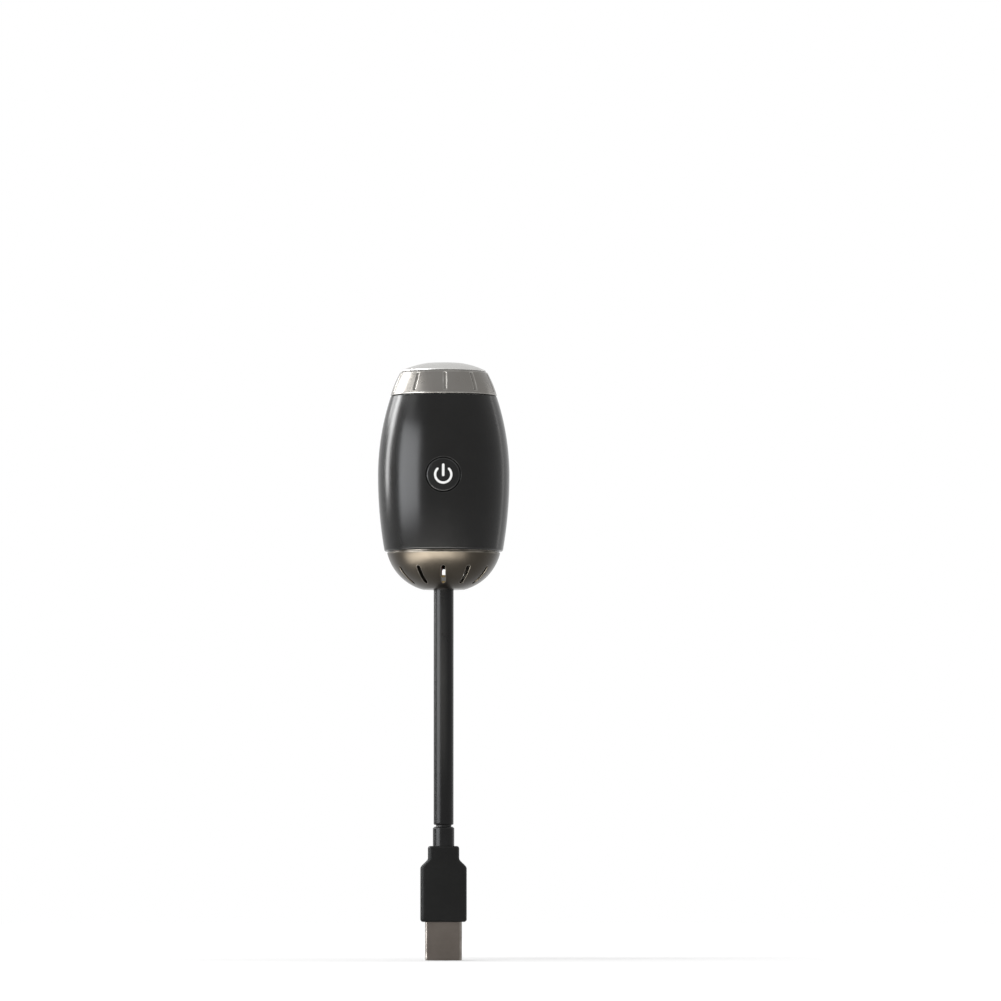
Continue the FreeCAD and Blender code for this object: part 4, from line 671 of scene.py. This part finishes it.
def opening_wall(rim, inner_rim):
    """From the outer face round the opening's edge and straight in to the wall's inner face.

    The edge is a quarter turn b of radius lip: the opening's radius falls by lip * sin(b) and
    the depth grows by lip * (1 - cos(b)).
    """
    away, hole, lip = rim
    bend = np.linspace(0, math.pi / 2, 5)[:, None]
    x = (hole + lip * (1 - np.sin(bend))) * np.cos(away)
    z = (hole + lip * (1 - np.sin(bend))) * np.sin(away) + button_level
    edge = np.stack([x, -np.sqrt(barrel(z) ** 2 - x * x) + lip * (1 - np.cos(bend)), z], -1)
    away = inner_rim[0]
    x, z = hole * np.cos(away), hole * np.sin(away) + button_level
    inner = np.stack([x, -np.sqrt(barrel(z, -shell_wall) ** 2 - x * x), z], -1)
    return [edge, np.stack([edge[-1], inner])]


def make_shell():
    """Outer and inner face r(z) = barrel(z, 0) and barrel(z, -wall), joined by turned lines.

    The lower line is the snap bore with its groove, the upper one the mouth for the ring's skirt.
    """
    spigot_bore, groove = 16.7, 0.45
    land_top = cap_rim + 3.95
    slope_top = land_top + shell_wall
    lip_foot = shell_top - 1.8
    mouth = 13.3
    foot_edge, top_edge = 0.7, 0.15
    low, high = shell_foot + foot_edge, shell_top - top_edge
    outside, rim = shell_side(0.0, low, high)
    inside, inner_rim = shell_side(-shell_wall, slope_top, lip_foot)
    foot = rounded([
        (barrel(slope_top, -shell_wall), slope_top), (spigot_bore, land_top),
        (spigot_bore, bead_level + groove), (spigot_bore + groove, bead_level),
        (spigot_bore, bead_level - groove), (spigot_bore, shell_foot),
        arc((shell_foot_radius - foot_edge, shell_foot), (barrel(low), low), foot_edge + 0.01, 9),
    ], closed=False)
    top = rounded([
        arc((barrel(high), high), (shell_top_radius - top_edge, shell_top), top_edge, 5),
        (mouth, shell_top), (mouth, lip_foot), (barrel(lip_foot, -shell_wall), lip_foot),
    ], closed=False)
    grids = outside + inside + opening_wall(rim, inner_rim)
    grids += [lathe(line, SHELL_COLUMNS) for line in (foot, top)]
    skin("barrel_shell", grids, "shell_plastic", "head", ["body_shell"])


# Base cap: bowl with twelve slots

CAP_CURVE = 16.46
CAP_FOOT_RADIUS = 6.9
CAP_WALL = 1.5
VENTS = 12
VENT_HALF_WIDTH = 0.65
VENT_LOW, VENT_HIGH = head_foot + 1.7, head_foot + 7.3
VENT_LIP = 0.15
SECTOR = TAU / VENTS
SECTOR_COLUMNS = 12
SLOT_ROWS = 22
SCREW_HOLE = 1.0


def bowl_centre():
    """Middle of the arc through the bowl's foot and rim, sqrt(curve^2 - half_chord^2) inwards."""
    start = np.array([CAP_FOOT_RADIUS, head_foot])
    end = np.array([cap_rim_radius, cap_rim])
    half = np.linalg.norm(end - start) / 2
    along = (end - start) / (2 * half)
    return (start + end) / 2 + np.array([-along[1], along[0]]) * math.sqrt(CAP_CURVE ** 2 - half ** 2)


BOWL = bowl_centre()


def bowl_point(turn, slope, offset):
    """Points at radius X + c sin(s) and level Z - c cos(s), s being the slope up from the bottom.

    X, Z is the arc's middle and c its radius, grown by offset.
    """
    radius = CAP_CURVE + offset
    return around(BOWL[0] + radius * np.sin(slope), BOWL[1] - radius * np.cos(slope), turn)


def bowl_slope(level, offset):
    """Slope arccos((Z - level) / c) at which the bowl reaches a level."""
    return np.arccos((BOWL[1] - np.asarray(level, float)) / (CAP_CURVE + offset))


def reach_at(level, offset):
    """Radius X + c sin(slope) of the bowl at a level."""
    return BOWL[0] + (CAP_CURVE + offset) * math.sin(float(bowl_slope(level, offset)))


def slot_outline(half_width):
    """An upright slot with round ends as x and level, anticlockwise from its lower left."""
    ends = np.linspace(0, math.pi, SECTOR_COLUMNS + 1)[:-1]
    straight = np.linspace(VENT_LOW + VENT_HALF_WIDTH, VENT_HIGH - VENT_HALF_WIDTH, SLOT_ROWS + 1)
    x = np.concatenate([-half_width * np.cos(ends), np.full(SLOT_ROWS, half_width),
                        half_width * np.cos(ends), np.full(SLOT_ROWS + 1, -half_width)])
    z = np.concatenate([straight[0] - half_width * np.sin(ends), straight[:-1],
                        straight[-1] + half_width * np.sin(ends), straight[::-1]])
    return x, z


def bowl_side(offset, low, high, lip):
    """One face of the bowl as grids, and the outline of its slots.

    Between two slopes the bowl is twelve sectors. In each, lines go from the slot's outline to
    the sector's border: (1 - w) * outline + w * border in angle and slope, with w = share^1.4.
    """
    steps, below_slots, above_slots = 8, 0.45, 0.9
    start = bowl_slope(VENT_LOW - below_slots, offset)
    stop = bowl_slope(VENT_HIGH + above_slots, offset)
    turn = full_turn(VENTS * SECTOR_COLUMNS)
    bands = ((bowl_slope(low, offset), start, 5), (stop, bowl_slope(high, offset), 9))
    grids = [bowl_point(turn[None, :], np.linspace(first, last, rows)[:, None], offset)
             for first, last, rows in bands]
    border = frame_of(-SECTOR / 2, SECTOR / 2, start, stop, SECTOR_COLUMNS, SLOT_ROWS)
    x, z = slot_outline(VENT_HALF_WIDTH + lip)
    slope = bowl_slope(z, offset)
    radius = BOWL[0] + (CAP_CURVE + offset) * np.sin(slope)
    slot = np.stack([np.arcsin(x / radius), slope], 1)
    share = np.linspace(0, 1, steps + 1)[:, None, None] ** 1.4
    spread = slot * (1 - share) + border * share
    grids += [bowl_point(spread[..., 0] + slot_turn(number), spread[..., 1], offset)
              for number in range(VENTS)]
    return grids, (x, z)


def slot_wall(rim, inner_rim, number):
    """From the outer face round a slot's edge and straight in to the bowl's inner face.

    The edge is a quarter turn b: its outline narrows by lip * sin(b) and its radius falls by
    lip * (1 - cos(b)).
    """
    bend = np.linspace(0, math.pi / 2, 4)[:, None]
    x_out, z_out = rim
    x_in, z_in = inner_rim
    x = x_in + (x_out - x_in) * (1 - np.sin(bend))
    z = z_in + (z_out - z_in) * (1 - np.sin(bend))
    radius = BOWL[0] + CAP_CURVE * np.sin(bowl_slope(z, 0))
    turn = np.arcsin(x / radius) + slot_turn(number)
    edge = around(radius - VENT_LIP * (1 - np.cos(bend)), z, turn)
    radius = BOWL[0] + (CAP_CURVE - CAP_WALL) * np.sin(bowl_slope(z_in, -CAP_WALL))
    inner = around(radius, z_in, np.arcsin(x_in / radius) + slot_turn(number))
    return [edge, np.stack([edge[-1], inner])]


def slot_turn(number):
    """Angle of a slot's middle."""
    return -math.pi + SECTOR * (number + 1)


def pillar(x, y, radius, foot, top, edge):
    """A turned pillar (x + r sin t, y - r cos t, z) with a screw hole down its middle."""
    line = rounded([(SCREW_HOLE, foot), (radius, foot), (radius, top, edge), (SCREW_HOLE, top, edge)])
    return lathe(line, 40) + np.array([x, y, 0.0])


def make_base_cap():
    """Bowl with slots, joined by turned lines at its hole and at its rim with the snap spigot.

    Four posts carry the frame screws and two bosses the clamp screws. Where a post's point lies
    lower than Z - sqrt(c^2 - (d - X)^2) it is lifted to that level, d being its distance from
    the axis, X, Z the bowl's middle and c the bowl's radius at mid-wall.
    """
    hole = 3.4
    floor_top = head_foot + 1.6
    shelf = cap_rim - CAP_WALL
    spigot, spigot_inner, seat = 16.6, 15.2, 17.6
    bead = 0.35
    spigot_top = cap_rim + 3.6
    rim_edge = 0.2
    low, high = head_foot + 0.02, cap_rim - rim_edge
    outside, rim = bowl_side(0.0, low, high, VENT_LIP)
    inside, inner_rim = bowl_side(-CAP_WALL, floor_top, shelf, 0.0)
    foot_line = rounded([
        (reach_at(floor_top, -CAP_WALL), floor_top), (hole, floor_top), (hole, head_foot, 0.3),
        (CAP_FOOT_RADIUS - 0.2, head_foot), (reach_at(low, 0.0), low),
    ], closed=False)
    rim_line = rounded([
        (reach_at(high, 0.0), high),
        arc((reach_at(high, 0.0), high), (cap_rim_radius - rim_edge, cap_rim), rim_edge * 1.1, 5),
        (seat, cap_rim), (seat, shell_foot), (spigot, shell_foot),
        (spigot, bead_level - bead), (spigot + bead, bead_level), (spigot, bead_level + bead),
        (spigot, spigot_top), (spigot_inner, spigot_top), (spigot_inner, shelf),
        (reach_at(shelf, -CAP_WALL), shelf),
    ], closed=False)
    columns = VENTS * SECTOR_COLUMNS
    grids = outside + inside + [lathe(foot_line, columns), lathe(rim_line, columns)]
    for number in range(VENTS):
        grids += slot_wall(rim, inner_rim, number)
    skin("vented_base_cap", grids, "cap_plastic", "head", ["base_cap"])
    post_place, post_radius, post_top = 8.9, 2.2, levels("base_cap")[1]
    for number, (x, y) in enumerate(((1, 1), (-1, 1), (-1, -1), (1, -1)), start=1):
        post = pillar(x * post_place, y * post_place, post_radius, floor_top, post_top, 0.2)
        away = np.hypot(post[..., 0], post[..., 1]) - BOWL[0]
        in_the_wall = BOWL[1] - np.sqrt((CAP_CURVE - CAP_WALL / 2) ** 2 - away ** 2)
        post[..., 2] = np.maximum(post[..., 2], in_the_wall)
        skin(f"cap_post_{number}", [post], "cap_plastic", "head")
    boss_place, boss_radius, boss_root, boss_rise = 7.2, 2.0, 0.8, 1.0
    for number, x in enumerate((-boss_place, boss_place), start=1):
        boss = pillar(x, 0.0, boss_radius, floor_top - boss_root, floor_top + boss_rise, 0.15)
        skin(f"clamp_boss_{number}", [boss], "cap_plastic", "head")


# Power button and its printed symbol

BUTTON_PROUD = 0.05


def button_face(x, level, print_height=0.0):
    """Depth -sqrt(barrel(z)^2 - x^2) of the button's face, which follows the barrel."""
    return -np.sqrt((barrel(level, BUTTON_PROUD + print_height)) ** 2 - x * x)


def disc(radius, away):
    """Points radius * (cos a, sin a) about the button's middle, as x and level."""
    return radius * np.cos(away), radius * np.sin(away) + button_level


def make_button():
    """Rings of points about the button's middle: face, rounded edge, side, flange and back.

    Over a quarter turn b of the edge the radius grows by edge * sin(b)^0.9 and the face sinks
    by edge * (1 - cos(b))^1.1.
    """
    edge = 0.55
    flange_radius, flange_front, flange_back, flange_edge = 6.6, -18.3, -17.5, 0.1
    away = np.linspace(0, TAU, 97)
    rings = []
    for radius in (0.0, 0.8, 1.6, 2.4, 3.2, 4.0, 4.6, button_radius - edge):
        x, z = disc(radius, away)
        rings.append(np.stack([x, button_face(x, z), z], -1))
    for bend in np.linspace(0, math.pi / 2, 7)[1:]:
        x, z = disc(button_radius - edge * (1 - math.sin(bend) ** 0.9), away)
        sunk = edge * (1 - math.cos(bend)) ** 1.1
        rings.append(np.stack([x, button_face(x, z) + sunk, z], -1))
    for radius, depth in ((button_radius, flange_front), (flange_radius - flange_edge, flange_front),
                          (flange_radius, flange_front + flange_edge), (flange_radius, flange_back),
                          (0.0, flange_back)):
        x, z = disc(radius, away)
        rings.append(np.stack([x, np.full_like(x, depth), z], -1))
    skin("round_power_button", [np.stack(rings)], "button_plastic", "power_button", ["power_button"],
         sharp=50)


PRINT_SECTION = ((-1, -0.05), (-1, 0.03), (-0.8, 0.045), (0, 0.045), (0.8, 0.045), (1, 0.03),
                 (1, -0.05), (-1, -0.05))


def band_on_button(name, middle_x, middle_z, half_width):
    """A printed line: a band along a path, up to 0.045 above the face and closed behind it.

    Its points are path + side * share * width, with width = half_width * sqrt(1 - (1 - d)^2)
    for d below 1, d being the way from the nearer end in half widths. So its ends are round.
    """
    along = np.stack([np.gradient(middle_x), np.gradient(middle_z)], 1)
    along /= np.linalg.norm(along, axis=1)[:, None]
    side = np.stack([-along[:, 1], along[:, 0]], 1)
    step = np.hypot(np.diff(middle_x), np.diff(middle_z))
    run = np.concatenate([[0], np.cumsum(step)])
    from_end = np.minimum(run, run[-1] - run)
    inside = np.clip(from_end / half_width, 0, 1)
    width = half_width * np.sqrt(1 - (1 - inside) ** 2)
    rows = []
    for share, height in PRINT_SECTION:
        x = middle_x + side[:, 0] * width * share
        z = middle_z + side[:, 1] * width * share
        rows.append(np.stack([x, button_face(x, z, height), z], -1))
    skin(name, [np.stack(rows)], "symbol_print", "power_button")


def make_power_symbol():
    """A ring (radius sin t, radius cos t), open at the top, and an upright bar in the opening."""
    radius, half_line, opening = 2.62, 0.37, math.radians(36)
    ring_level, bar_foot, bar_top, bar_half_line = -0.05, -0.65, 3.55, 0.41
    turn = np.linspace(opening, TAU - opening, 90)
    band_on_button("symbol_ring", radius * np.sin(turn),
                   button_level + ring_level + radius * np.cos(turn), half_line)
    z = np.linspace(button_level + bar_foot, button_level + bar_top, 40)
    band_on_button("symbol_bar", np.zeros_like(z), z, bar_half_line)


# Focus ring

GRIPS = 10
GRIP_TURN = math.radians(2.0)
GRIP_HALF_WIDTH, GRIP_DEPTH = 0.62, 0.4
GRIP_FOOT_FADE, GRIP_TOP_FADE = 0.6, 0.35
RING_COLUMNS = 720
RING_HEIGHT = 7.75
RING_BORE = 10.6
PINS = 3
CAM_LEAD = 9.0
CAM_HALF_WIDTH, CAM_DEPTH, CAM_EDGE = 0.92, 1.6, 0.14
CAM_HALF_TURN = math.radians(68)


def grip_depth(radius, level, turn, low, high):
    """How deep the grip grooves sink the ring's side.

    It is depth * (1 - (s / half_width)^2)^1.2 * f^2 * (3 - 2 f), s being the way from a groove's
    middle and f a share that is 1 along the groove and falls to 0 over its ends.
    """
    phase = (turn - GRIP_TURN + math.pi / GRIPS) % (TAU / GRIPS) - math.pi / GRIPS
    across = np.abs(phase * radius)
    bump = np.clip(1 - (across / GRIP_HALF_WIDTH) ** 2, 0, 1) ** 1.2
    fade = (np.clip((level - low + GRIP_FOOT_FADE) / GRIP_FOOT_FADE, 0, 1)
            * np.clip((high + GRIP_TOP_FADE - level) / GRIP_TOP_FADE, 0, 1))
    return GRIP_DEPTH * bump * fade * fade * (3 - 2 * fade)


def cam_depth(level, turn, cam_level):
    """How deep the cam grooves cut the ring's bore.

    A groove's middle is at cam_level - lead * swing / TAU, swing being the turn from its pin.
    The depth is full within half a width of that line and falls to 0 over the edge.
    """
    depth = np.zeros(np.broadcast(level, turn).shape)
    for pin in range(PINS):
        pin_turn = math.pi + TAU / PINS * pin
        swing = (turn - pin_turn + math.pi) % TAU - math.pi
        middle = cam_level - CAM_LEAD * swing / TAU
        outward = np.maximum(np.abs(level - middle) - CAM_HALF_WIDTH, 0)
        past_end = np.maximum(np.abs(swing) - CAM_HALF_TURN, 0) * RING_BORE
        apart = np.hypot(outward, past_end)
        depth = np.maximum(depth, CAM_DEPTH * np.clip(1 - apart / CAM_EDGE, 0, 1))
    return depth


def make_focus_ring():
    """Cone of radius r(z) - grip_depth outside and of radius bore + cam_depth inside."""
    skirt_foot, ring_top = levels("focus_ring")
    ring_foot = ring_top - RING_HEIGHT
    skirt, lip = 13.0, 0.25
    top_radius, bulge, chamfer = 14.6, 34.0, 0.7
    wall, roof = 1.6, ring_top - 3.0
    grip_foot, grip_top = ring_foot + 1.5, ring_foot + 6.75
    cam_level = shell_top - 2.4
    turn = full_turn(RING_COLUMNS)[None, :]
    side = rounded([
        arc((shell_top_radius - lip, ring_foot), (shell_top_radius, ring_foot + lip), lip, 4),
        arc((shell_top_radius, ring_foot + lip + 0.05), (top_radius, ring_top - chamfer), bulge, 60)[1:],
        arc((top_radius, ring_top - chamfer), (top_radius - chamfer, ring_top), 1.0, 10)[1:],
    ], closed=False)
    radius, level = side[:, 0][:, None], side[:, 1][:, None]
    outside = around(radius - grip_depth(radius, level, turn, grip_foot, grip_top), level, turn)
    top = lathe([(top_radius - chamfer, ring_top), (RING_BORE, ring_top)], RING_COLUMNS)
    cone = shell_top_radius + (top_radius - shell_top_radius) * (roof - ring_foot) / RING_HEIGHT
    under = lathe([(RING_BORE, skirt_foot), (skirt, skirt_foot), (skirt, roof), (cone - wall, roof),
                   (shell_top_radius - wall, ring_foot), (shell_top_radius - lip, ring_foot)],
                  RING_COLUMNS)
    rows = np.linspace(skirt_foot, ring_top, 150)[:, None]
    inside = around(RING_BORE + cam_depth(rows, turn, cam_level), rows, turn)
    skin("grooved_focus_ring", [outside, top, under, inside], "ring_metal", "focus_ring",
         ["focus_ring"], sharp=42)


# Top bezel and window

def make_bezel():
    """Surface of revolution of a closed line: spigot, rim, domed arc, aperture and window seat."""
    bezel_foot, bezel_top = levels("top_bezel")
    tube_top = bezel_top - 2.8
    aperture, flat, outer = 5.6, 6.6, reach("top_bezel")
    window_bore, window_foot, window_top = 6.5, bezel_top - 1.8, bezel_top - 0.8
    spigot, spigot_bore = 9.4, 7.4
    rim_top, dome_foot, dome_top = tube_top + 0.35, tube_top + 0.45, bezel_top - 0.09
    dome_radius, dome_inset, dome_end = 24.0, 0.05, 0.35
    line = rounded([
        (aperture, window_top), (window_bore, window_top), (window_bore, window_foot),
        (spigot_bore, window_foot), (spigot_bore, bezel_foot), (spigot, bezel_foot, 0.15),
        (spigot, tube_top), (outer, tube_top, 0.1), (outer, rim_top),
        arc((outer - dome_inset, dome_foot), (flat + dome_end, dome_top), dome_radius, 24),
        (flat, bezel_top), (aperture, bezel_top, 0.25),
    ])
    skin("domed_bezel", [lathe(line, 192)], "bezel_plastic", "head", ["top_bezel"], sharp=50)


def make_window():
    """A disc with rounded edges, turned about the axis."""
    low, high = levels("front_window")
    radius, edge = 6.4, 0.08
    line = rounded([(0.0, low), (radius, low, edge), (radius, high, edge), (0.0, high)], closed=False)
    skin("round_window", [lathe(line, 96)], "window_clear", "head", ["front_window"])


# Plug

FOLD_WIDTH, FOLD_DEPTH, FOLD_CORNER = 12.0, 4.5, 0.8
COLLAR_RADIUS = 3.1
CORE_RADIUS, CORE_BORE = 2.6, 1.6


def rounded_loop(width, depth, corner, level, steps=8):
    """Points corner middle + corner * (cos t, sin t) round a rectangle, first point repeated."""
    half_x, half_y = width / 2 - corner, depth / 2 - corner
    bend = np.linspace(0, math.pi / 2, steps)
    loop = []
    for number, (x, y) in enumerate(((half_x, -half_y), (half_x, half_y), (-half_x, half_y),
                                     (-half_x, -half_y))):
        turn = bend + (number - 1) * math.pi / 2
        loop.append(np.stack([x + corner * np.cos(turn), y + corner * np.sin(turn)], 1))
    loop = np.concatenate(loop + [loop[0][:1]])
    return np.column_stack([loop, np.full(len(loop), level)])


def round_loop(radius, level, steps=8):
    """As many points radius * (cos t, sin t), each at its corner's share of the turn."""
    turn = np.concatenate([np.linspace(0, math.pi / 2, steps) * 0.999 + (number - 1) * math.pi / 2
                           for number in range(4)] + [[-math.pi / 2]])
    return np.column_stack([radius * np.cos(turn), radius * np.sin(turn), np.full(len(turn), level)])


def make_overmould():
    """Loops carried up the axis: the width falls in an S, the depth stays, the edges are round.

    Over the slope the width is w0 + (w1 - w0) * (3 s^2 - 2 s^3), s going from 0 to 1. At the
    foot a loop is drawn in by edge * (1 - sin(b)) and lifted by edge * (1 - cos(b)), and at the
    top it is the same turned over. The loops then go down again inside, round the hollows.
    """
    width, depth, edge, foot_edge, top_edge = 15.1, 8.0, 1.5, 0.9, 0.75
    straight, slope, top_width, top = 17.4, 3.4, 10.2, 24.7
    corner_share = 0.6
    collar_foot, room_top, fold_top = 20.0, 10.5, 6.0
    room = (9.6, 3.6, 0.1)
    fold = (FOLD_WIDTH, FOLD_DEPTH, FOLD_CORNER)
    loops = [rounded_loop(*fold, 0.0)]
    for bend in np.linspace(0, math.pi / 2, 7):
        inset = foot_edge * (1 - math.sin(bend))
        loops.append(rounded_loop(width - 2 * inset, depth - 2 * inset, edge - inset * corner_share,
                                  foot_edge * (1 - math.cos(bend))))
    for share in np.linspace(0, 1, 8)[1:]:
        loops.append(rounded_loop(width, depth, edge, foot_edge + (straight - foot_edge) * share))
    for share in np.linspace(0, 1, 19)[1:]:
        fall = share * share * (3 - 2 * share)
        loops.append(rounded_loop(width + (top_width - width) * fall, depth, edge,
                                  straight + slope * share))
    loops.append(rounded_loop(top_width, depth, edge, top - top_edge))
    for bend in np.linspace(0, math.pi / 2, 5)[1:]:
        inset = top_edge * (1 - math.cos(bend))
        loops.append(rounded_loop(top_width - 2 * inset, depth - 2 * inset,
                                  edge - inset * corner_share, top - top_edge * (1 - math.sin(bend))))
    loops += [round_loop(COLLAR_RADIUS, top), round_loop(COLLAR_RADIUS, collar_foot),
              round_loop(CORE_RADIUS, collar_foot), round_loop(CORE_RADIUS, room_top),
              rounded_loop(*room, room_top), rounded_loop(*room, fold_top),
              rounded_loop(*fold, fold_top), rounded_loop(*fold, 0.0)]
    skin("plug_body", [np.stack(loops)], "overmould_plastic", "plug", ["plug_overmould"], sharp=45)


def folded_loops(flat, inset, level):
    """Loops of the folded tube at all levels, drawn in by the insets, first point repeated.

    Half a loop is the front flat and then the corners, middle + (corner - inset) * (sin b, -cos b)
    and middle + (corner - inset) * (cos b, sin b). The other half is its negative.
    """
    half_x, half_y = FOLD_WIDTH / 2 - FOLD_CORNER, FOLD_DEPTH / 2 - FOLD_CORNER
    bend = np.linspace(0, math.pi / 2, 8)
    corner = FOLD_CORNER - inset[:, None]
    x = np.concatenate([np.broadcast_to(flat, (len(inset), len(flat))),
                        half_x + corner * np.sin(bend[1:]), half_x + corner * np.cos(bend[:-1])], 1)
    y = np.concatenate([np.broadcast_to(-half_y - corner, (len(inset), len(flat))),
                        -half_y - corner * np.cos(bend[1:]), half_y + corner * np.sin(bend[:-1])], 1)
    half = np.stack([x, y], -1)
    loop = np.concatenate([half, -half, half[:, :1]], 1)
    return np.dstack([loop, np.broadcast_to(level[:, None], loop.shape[:2])])


def single_cells(first, second, third, fourth, chosen):
    """Cells with these four corners where chosen is true, as a batch for weld."""
    return np.stack([np.stack([first, second], -2), np.stack([third, fourth], -2)], -3)[chosen]


def make_plug_shell():
    """Folded tube: outer and inner loops at the same stations, cells left out for two windows.

    Up to mouth_run above the mouth, the outside is drawn in by mouth_inset * (1 - z / run)^2,
    z being the height above it, and the inside by half of that. A window's walls join the two
    faces of the sheet where a cell that is left out meets one that is kept.
    """
    wall, mouth_inset, mouth_run = 0.3, 0.12, 0.7
    mouth, root = levels("plug_shell")
    window_level, window_side, window_half = mouth + 5.2, 2.75, 1.1
    half_x = FOLD_WIDTH / 2 - FOLD_CORNER
    window_edges = window_side + np.array([-window_half, window_half])
    flat = np.unique(np.concatenate([np.linspace(-half_x, half_x, 13), -window_edges, window_edges]))
    stations = np.unique(np.concatenate([
        mouth + np.array([0.0, 0.06, 0.15, 0.3, 0.5, 0.7]), np.linspace(mouth + 1, root, 22),
        [window_level - window_half, window_level + window_half]]))
    drawn_in = mouth_inset * np.clip(1 - (stations - mouth) / mouth_run, 0, None) ** 2
    outer = folded_loops(flat, drawn_in, stations)
    inner = folded_loops(flat, wall + drawn_in / 2, stations)
    middle_x = (outer[:-1, :-1, 0] + outer[:-1, 1:, 0]) / 2
    middle_z = (outer[:-1, :-1, 2] + outer[1:, :-1, 2]) / 2
    window = outer[:-1, :-1, 1] > FOLD_DEPTH / 2 - FOLD_CORNER / 2
    window &= np.abs(np.abs(middle_x) - window_side) < window_half
    window &= np.abs(middle_z - window_level) < window_half
    across = np.diff(np.pad(window, ((1, 1), (0, 0))), axis=0)
    upright = np.diff(np.pad(window, ((0, 0), (1, 1))), axis=1)
    grids = [single_cells(face[:-1, :-1], face[:-1, 1:], face[1:, :-1], face[1:, 1:], ~window)
             for face in (outer, inner)]
    grids += [single_cells(outer[:, :-1], outer[:, 1:], inner[:, :-1], inner[:, 1:], across),
              single_cells(outer[:-1], outer[1:], inner[:-1], inner[1:], upright)]
    grids += [np.stack([outer[end], inner[end]]) for end in (0, -1)]
    skin("folded_plug_shell", grids, "plug_metal", "plug", ["plug_shell"], sharp=40)


# Neck

sleeve_foot = levels("neck_sleeve_00")[0]
NECK_JOINTS = [joint for joint in frame["joints"] if joint["name"].startswith("neck_")]
PIVOTS = [joint["pos_m"][2] / MM for joint in NECK_JOINTS]
PITCH = PIVOTS[1] - PIVOTS[0]
SLEEVE_RADIUS, SLEEVE_BORE, SLEEVE_EDGE, SLEEVE_STEP = 3.25, 2.75, 0.4, 0.4
CORE_PITCH, CORE_DEPTH, CORE_STEP = 1.2, 0.16, 0.15
LEAD_RADIUS, LEAD_STEP = 0.5, 0.8
LEADS = (("left", -1.05), ("right", 1.05))


def make_collar():
    """Surface of revolution of a closed line: the stem in the plug body, the rim and its chamfer."""
    low, high = levels("neck_collar")
    mould_top = levels("plug_overmould")[1]
    rim, chamfer, edge = 3.5, 0.5, 0.1
    line = rounded([
        (CORE_RADIUS, low), (COLLAR_RADIUS, low), (COLLAR_RADIUS, mould_top), (rim, mould_top),
        (rim, high - chamfer, edge), (rim - chamfer, high, edge), (CORE_RADIUS, high),
    ])
    skin("neck_root_collar", [lathe(line, 96)], "collar_metal", "plug", ["neck_collar"])


def sleeve_run(low, high, foot_edge):
    """Surface of revolution of a closed line up the sleeve's radius and down its bore.

    Its rows are close enough to bend, and its foot may be a quarter turn of radius foot_edge.
    """
    count = max(2, int(round((high - low - foot_edge) / SLEEVE_STEP)) + 1)
    rise = np.linspace(low + foot_edge, high, count)
    line = []
    if foot_edge:
        line += list(arc((SLEEVE_RADIUS - foot_edge, low), (SLEEVE_RADIUS, low + foot_edge),
                         foot_edge, 5))[:-1]
    line += [(SLEEVE_RADIUS, z) for z in rise] + [(SLEEVE_BORE, z) for z in rise[::-1]]
    if foot_edge:
        line.append((SLEEVE_BORE, low))
    line.append(line[0])
    return [lathe(line, 72)]


def core_run(low, high):
    """Wound core of radius R - depth * (1 - |sin(pi z / pitch + t / 2)|), one helix round it."""
    count = max(2, int(round((high - low) / CORE_STEP)) + 1)
    rise = np.linspace(low, high, count)[:, None]
    turn = full_turn(48)[None, :]
    groove = CORE_DEPTH * (1 - np.abs(np.sin(math.pi * rise / CORE_PITCH + turn / 2)))
    outside = around(CORE_RADIUS - groove, rise, turn)
    inside = around(CORE_BORE, rise, turn)
    ends = [np.stack([outside[end], inside[end]]) for end in (0, -1)]
    return [outside, inside, *ends]


def lead_run(x, low, high):
    """A round lead (x + r sin t, -r cos t, z), closed at both ends."""
    rise = np.linspace(low, high, max(2, int((high - low) / LEAD_STEP) + 1))
    line = [(0.0, low)] + [(LEAD_RADIUS, z) for z in rise] + [(0.0, high)]
    return [lathe(line, 20) + np.array([x, 0.0, 0.0])]


def make_neck():
    """Each stretch runs between two half-way marks, across its own joint, and is attached to no body.

    The marks lie half a pitch above and below a pivot, so two neighbouring stretches meet there.
    """
    head_stop = levels("neck_sleeve_12")[1]
    core_low, core_high = levels("gooseneck_core")
    lead_low, lead_high = levels("neck_leads")
    stretches = []
    for number, joint in enumerate(NECK_JOINTS):
        is_first, is_last = number == 0, number == len(NECK_JOINTS) - 1
        stop = PIVOTS[number] + PITCH / 2
        low = sleeve_foot if is_first else PIVOTS[number] - PITCH / 2
        label = f"{number + 1:02d}"
        sleeve = skin(f"sleeve_stretch_{label}", sleeve_run(low, head_stop if is_last else stop,
                                                            SLEEVE_EDGE if is_first else 0.0),
                      "sleeve_rubber")
        core = skin(f"core_stretch_{label}", core_run(low, core_high if is_last else stop),
                    "core_metal", sharp=80)
        pieces = [sleeve, core]
        for side, x in LEADS:
            pieces.append(skin(f"lead_{side}_{label}", lead_run(x, low, lead_high if is_last else stop),
                               "lead_jacket"))
        stretches += [(piece, joint, low, stop) for piece in pieces]
    for piece, joint, low, stop in stretches:
        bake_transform(piece)
    sleeves = [f"neck_sleeve_{number:02d}" for number in range(len(NECK_JOINTS) + 1)]
    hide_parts(*sleeves)
    skin("core_root", core_run(core_low, sleeve_foot), "core_metal", "plug", ["gooseneck_core"], sharp=80)
    for side, x in LEADS:
        root_lead = skin(f"lead_{side}_root", lead_run(x, lead_low, sleeve_foot), "lead_jacket", "plug")
    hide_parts("neck_leads")


dress_cad_nodes()
make_shell()
make_base_cap()
make_button()
make_power_symbol()
make_focus_ring()
make_bezel()
make_window()
make_overmould()
make_plug_shell()
make_collar()
make_neck()
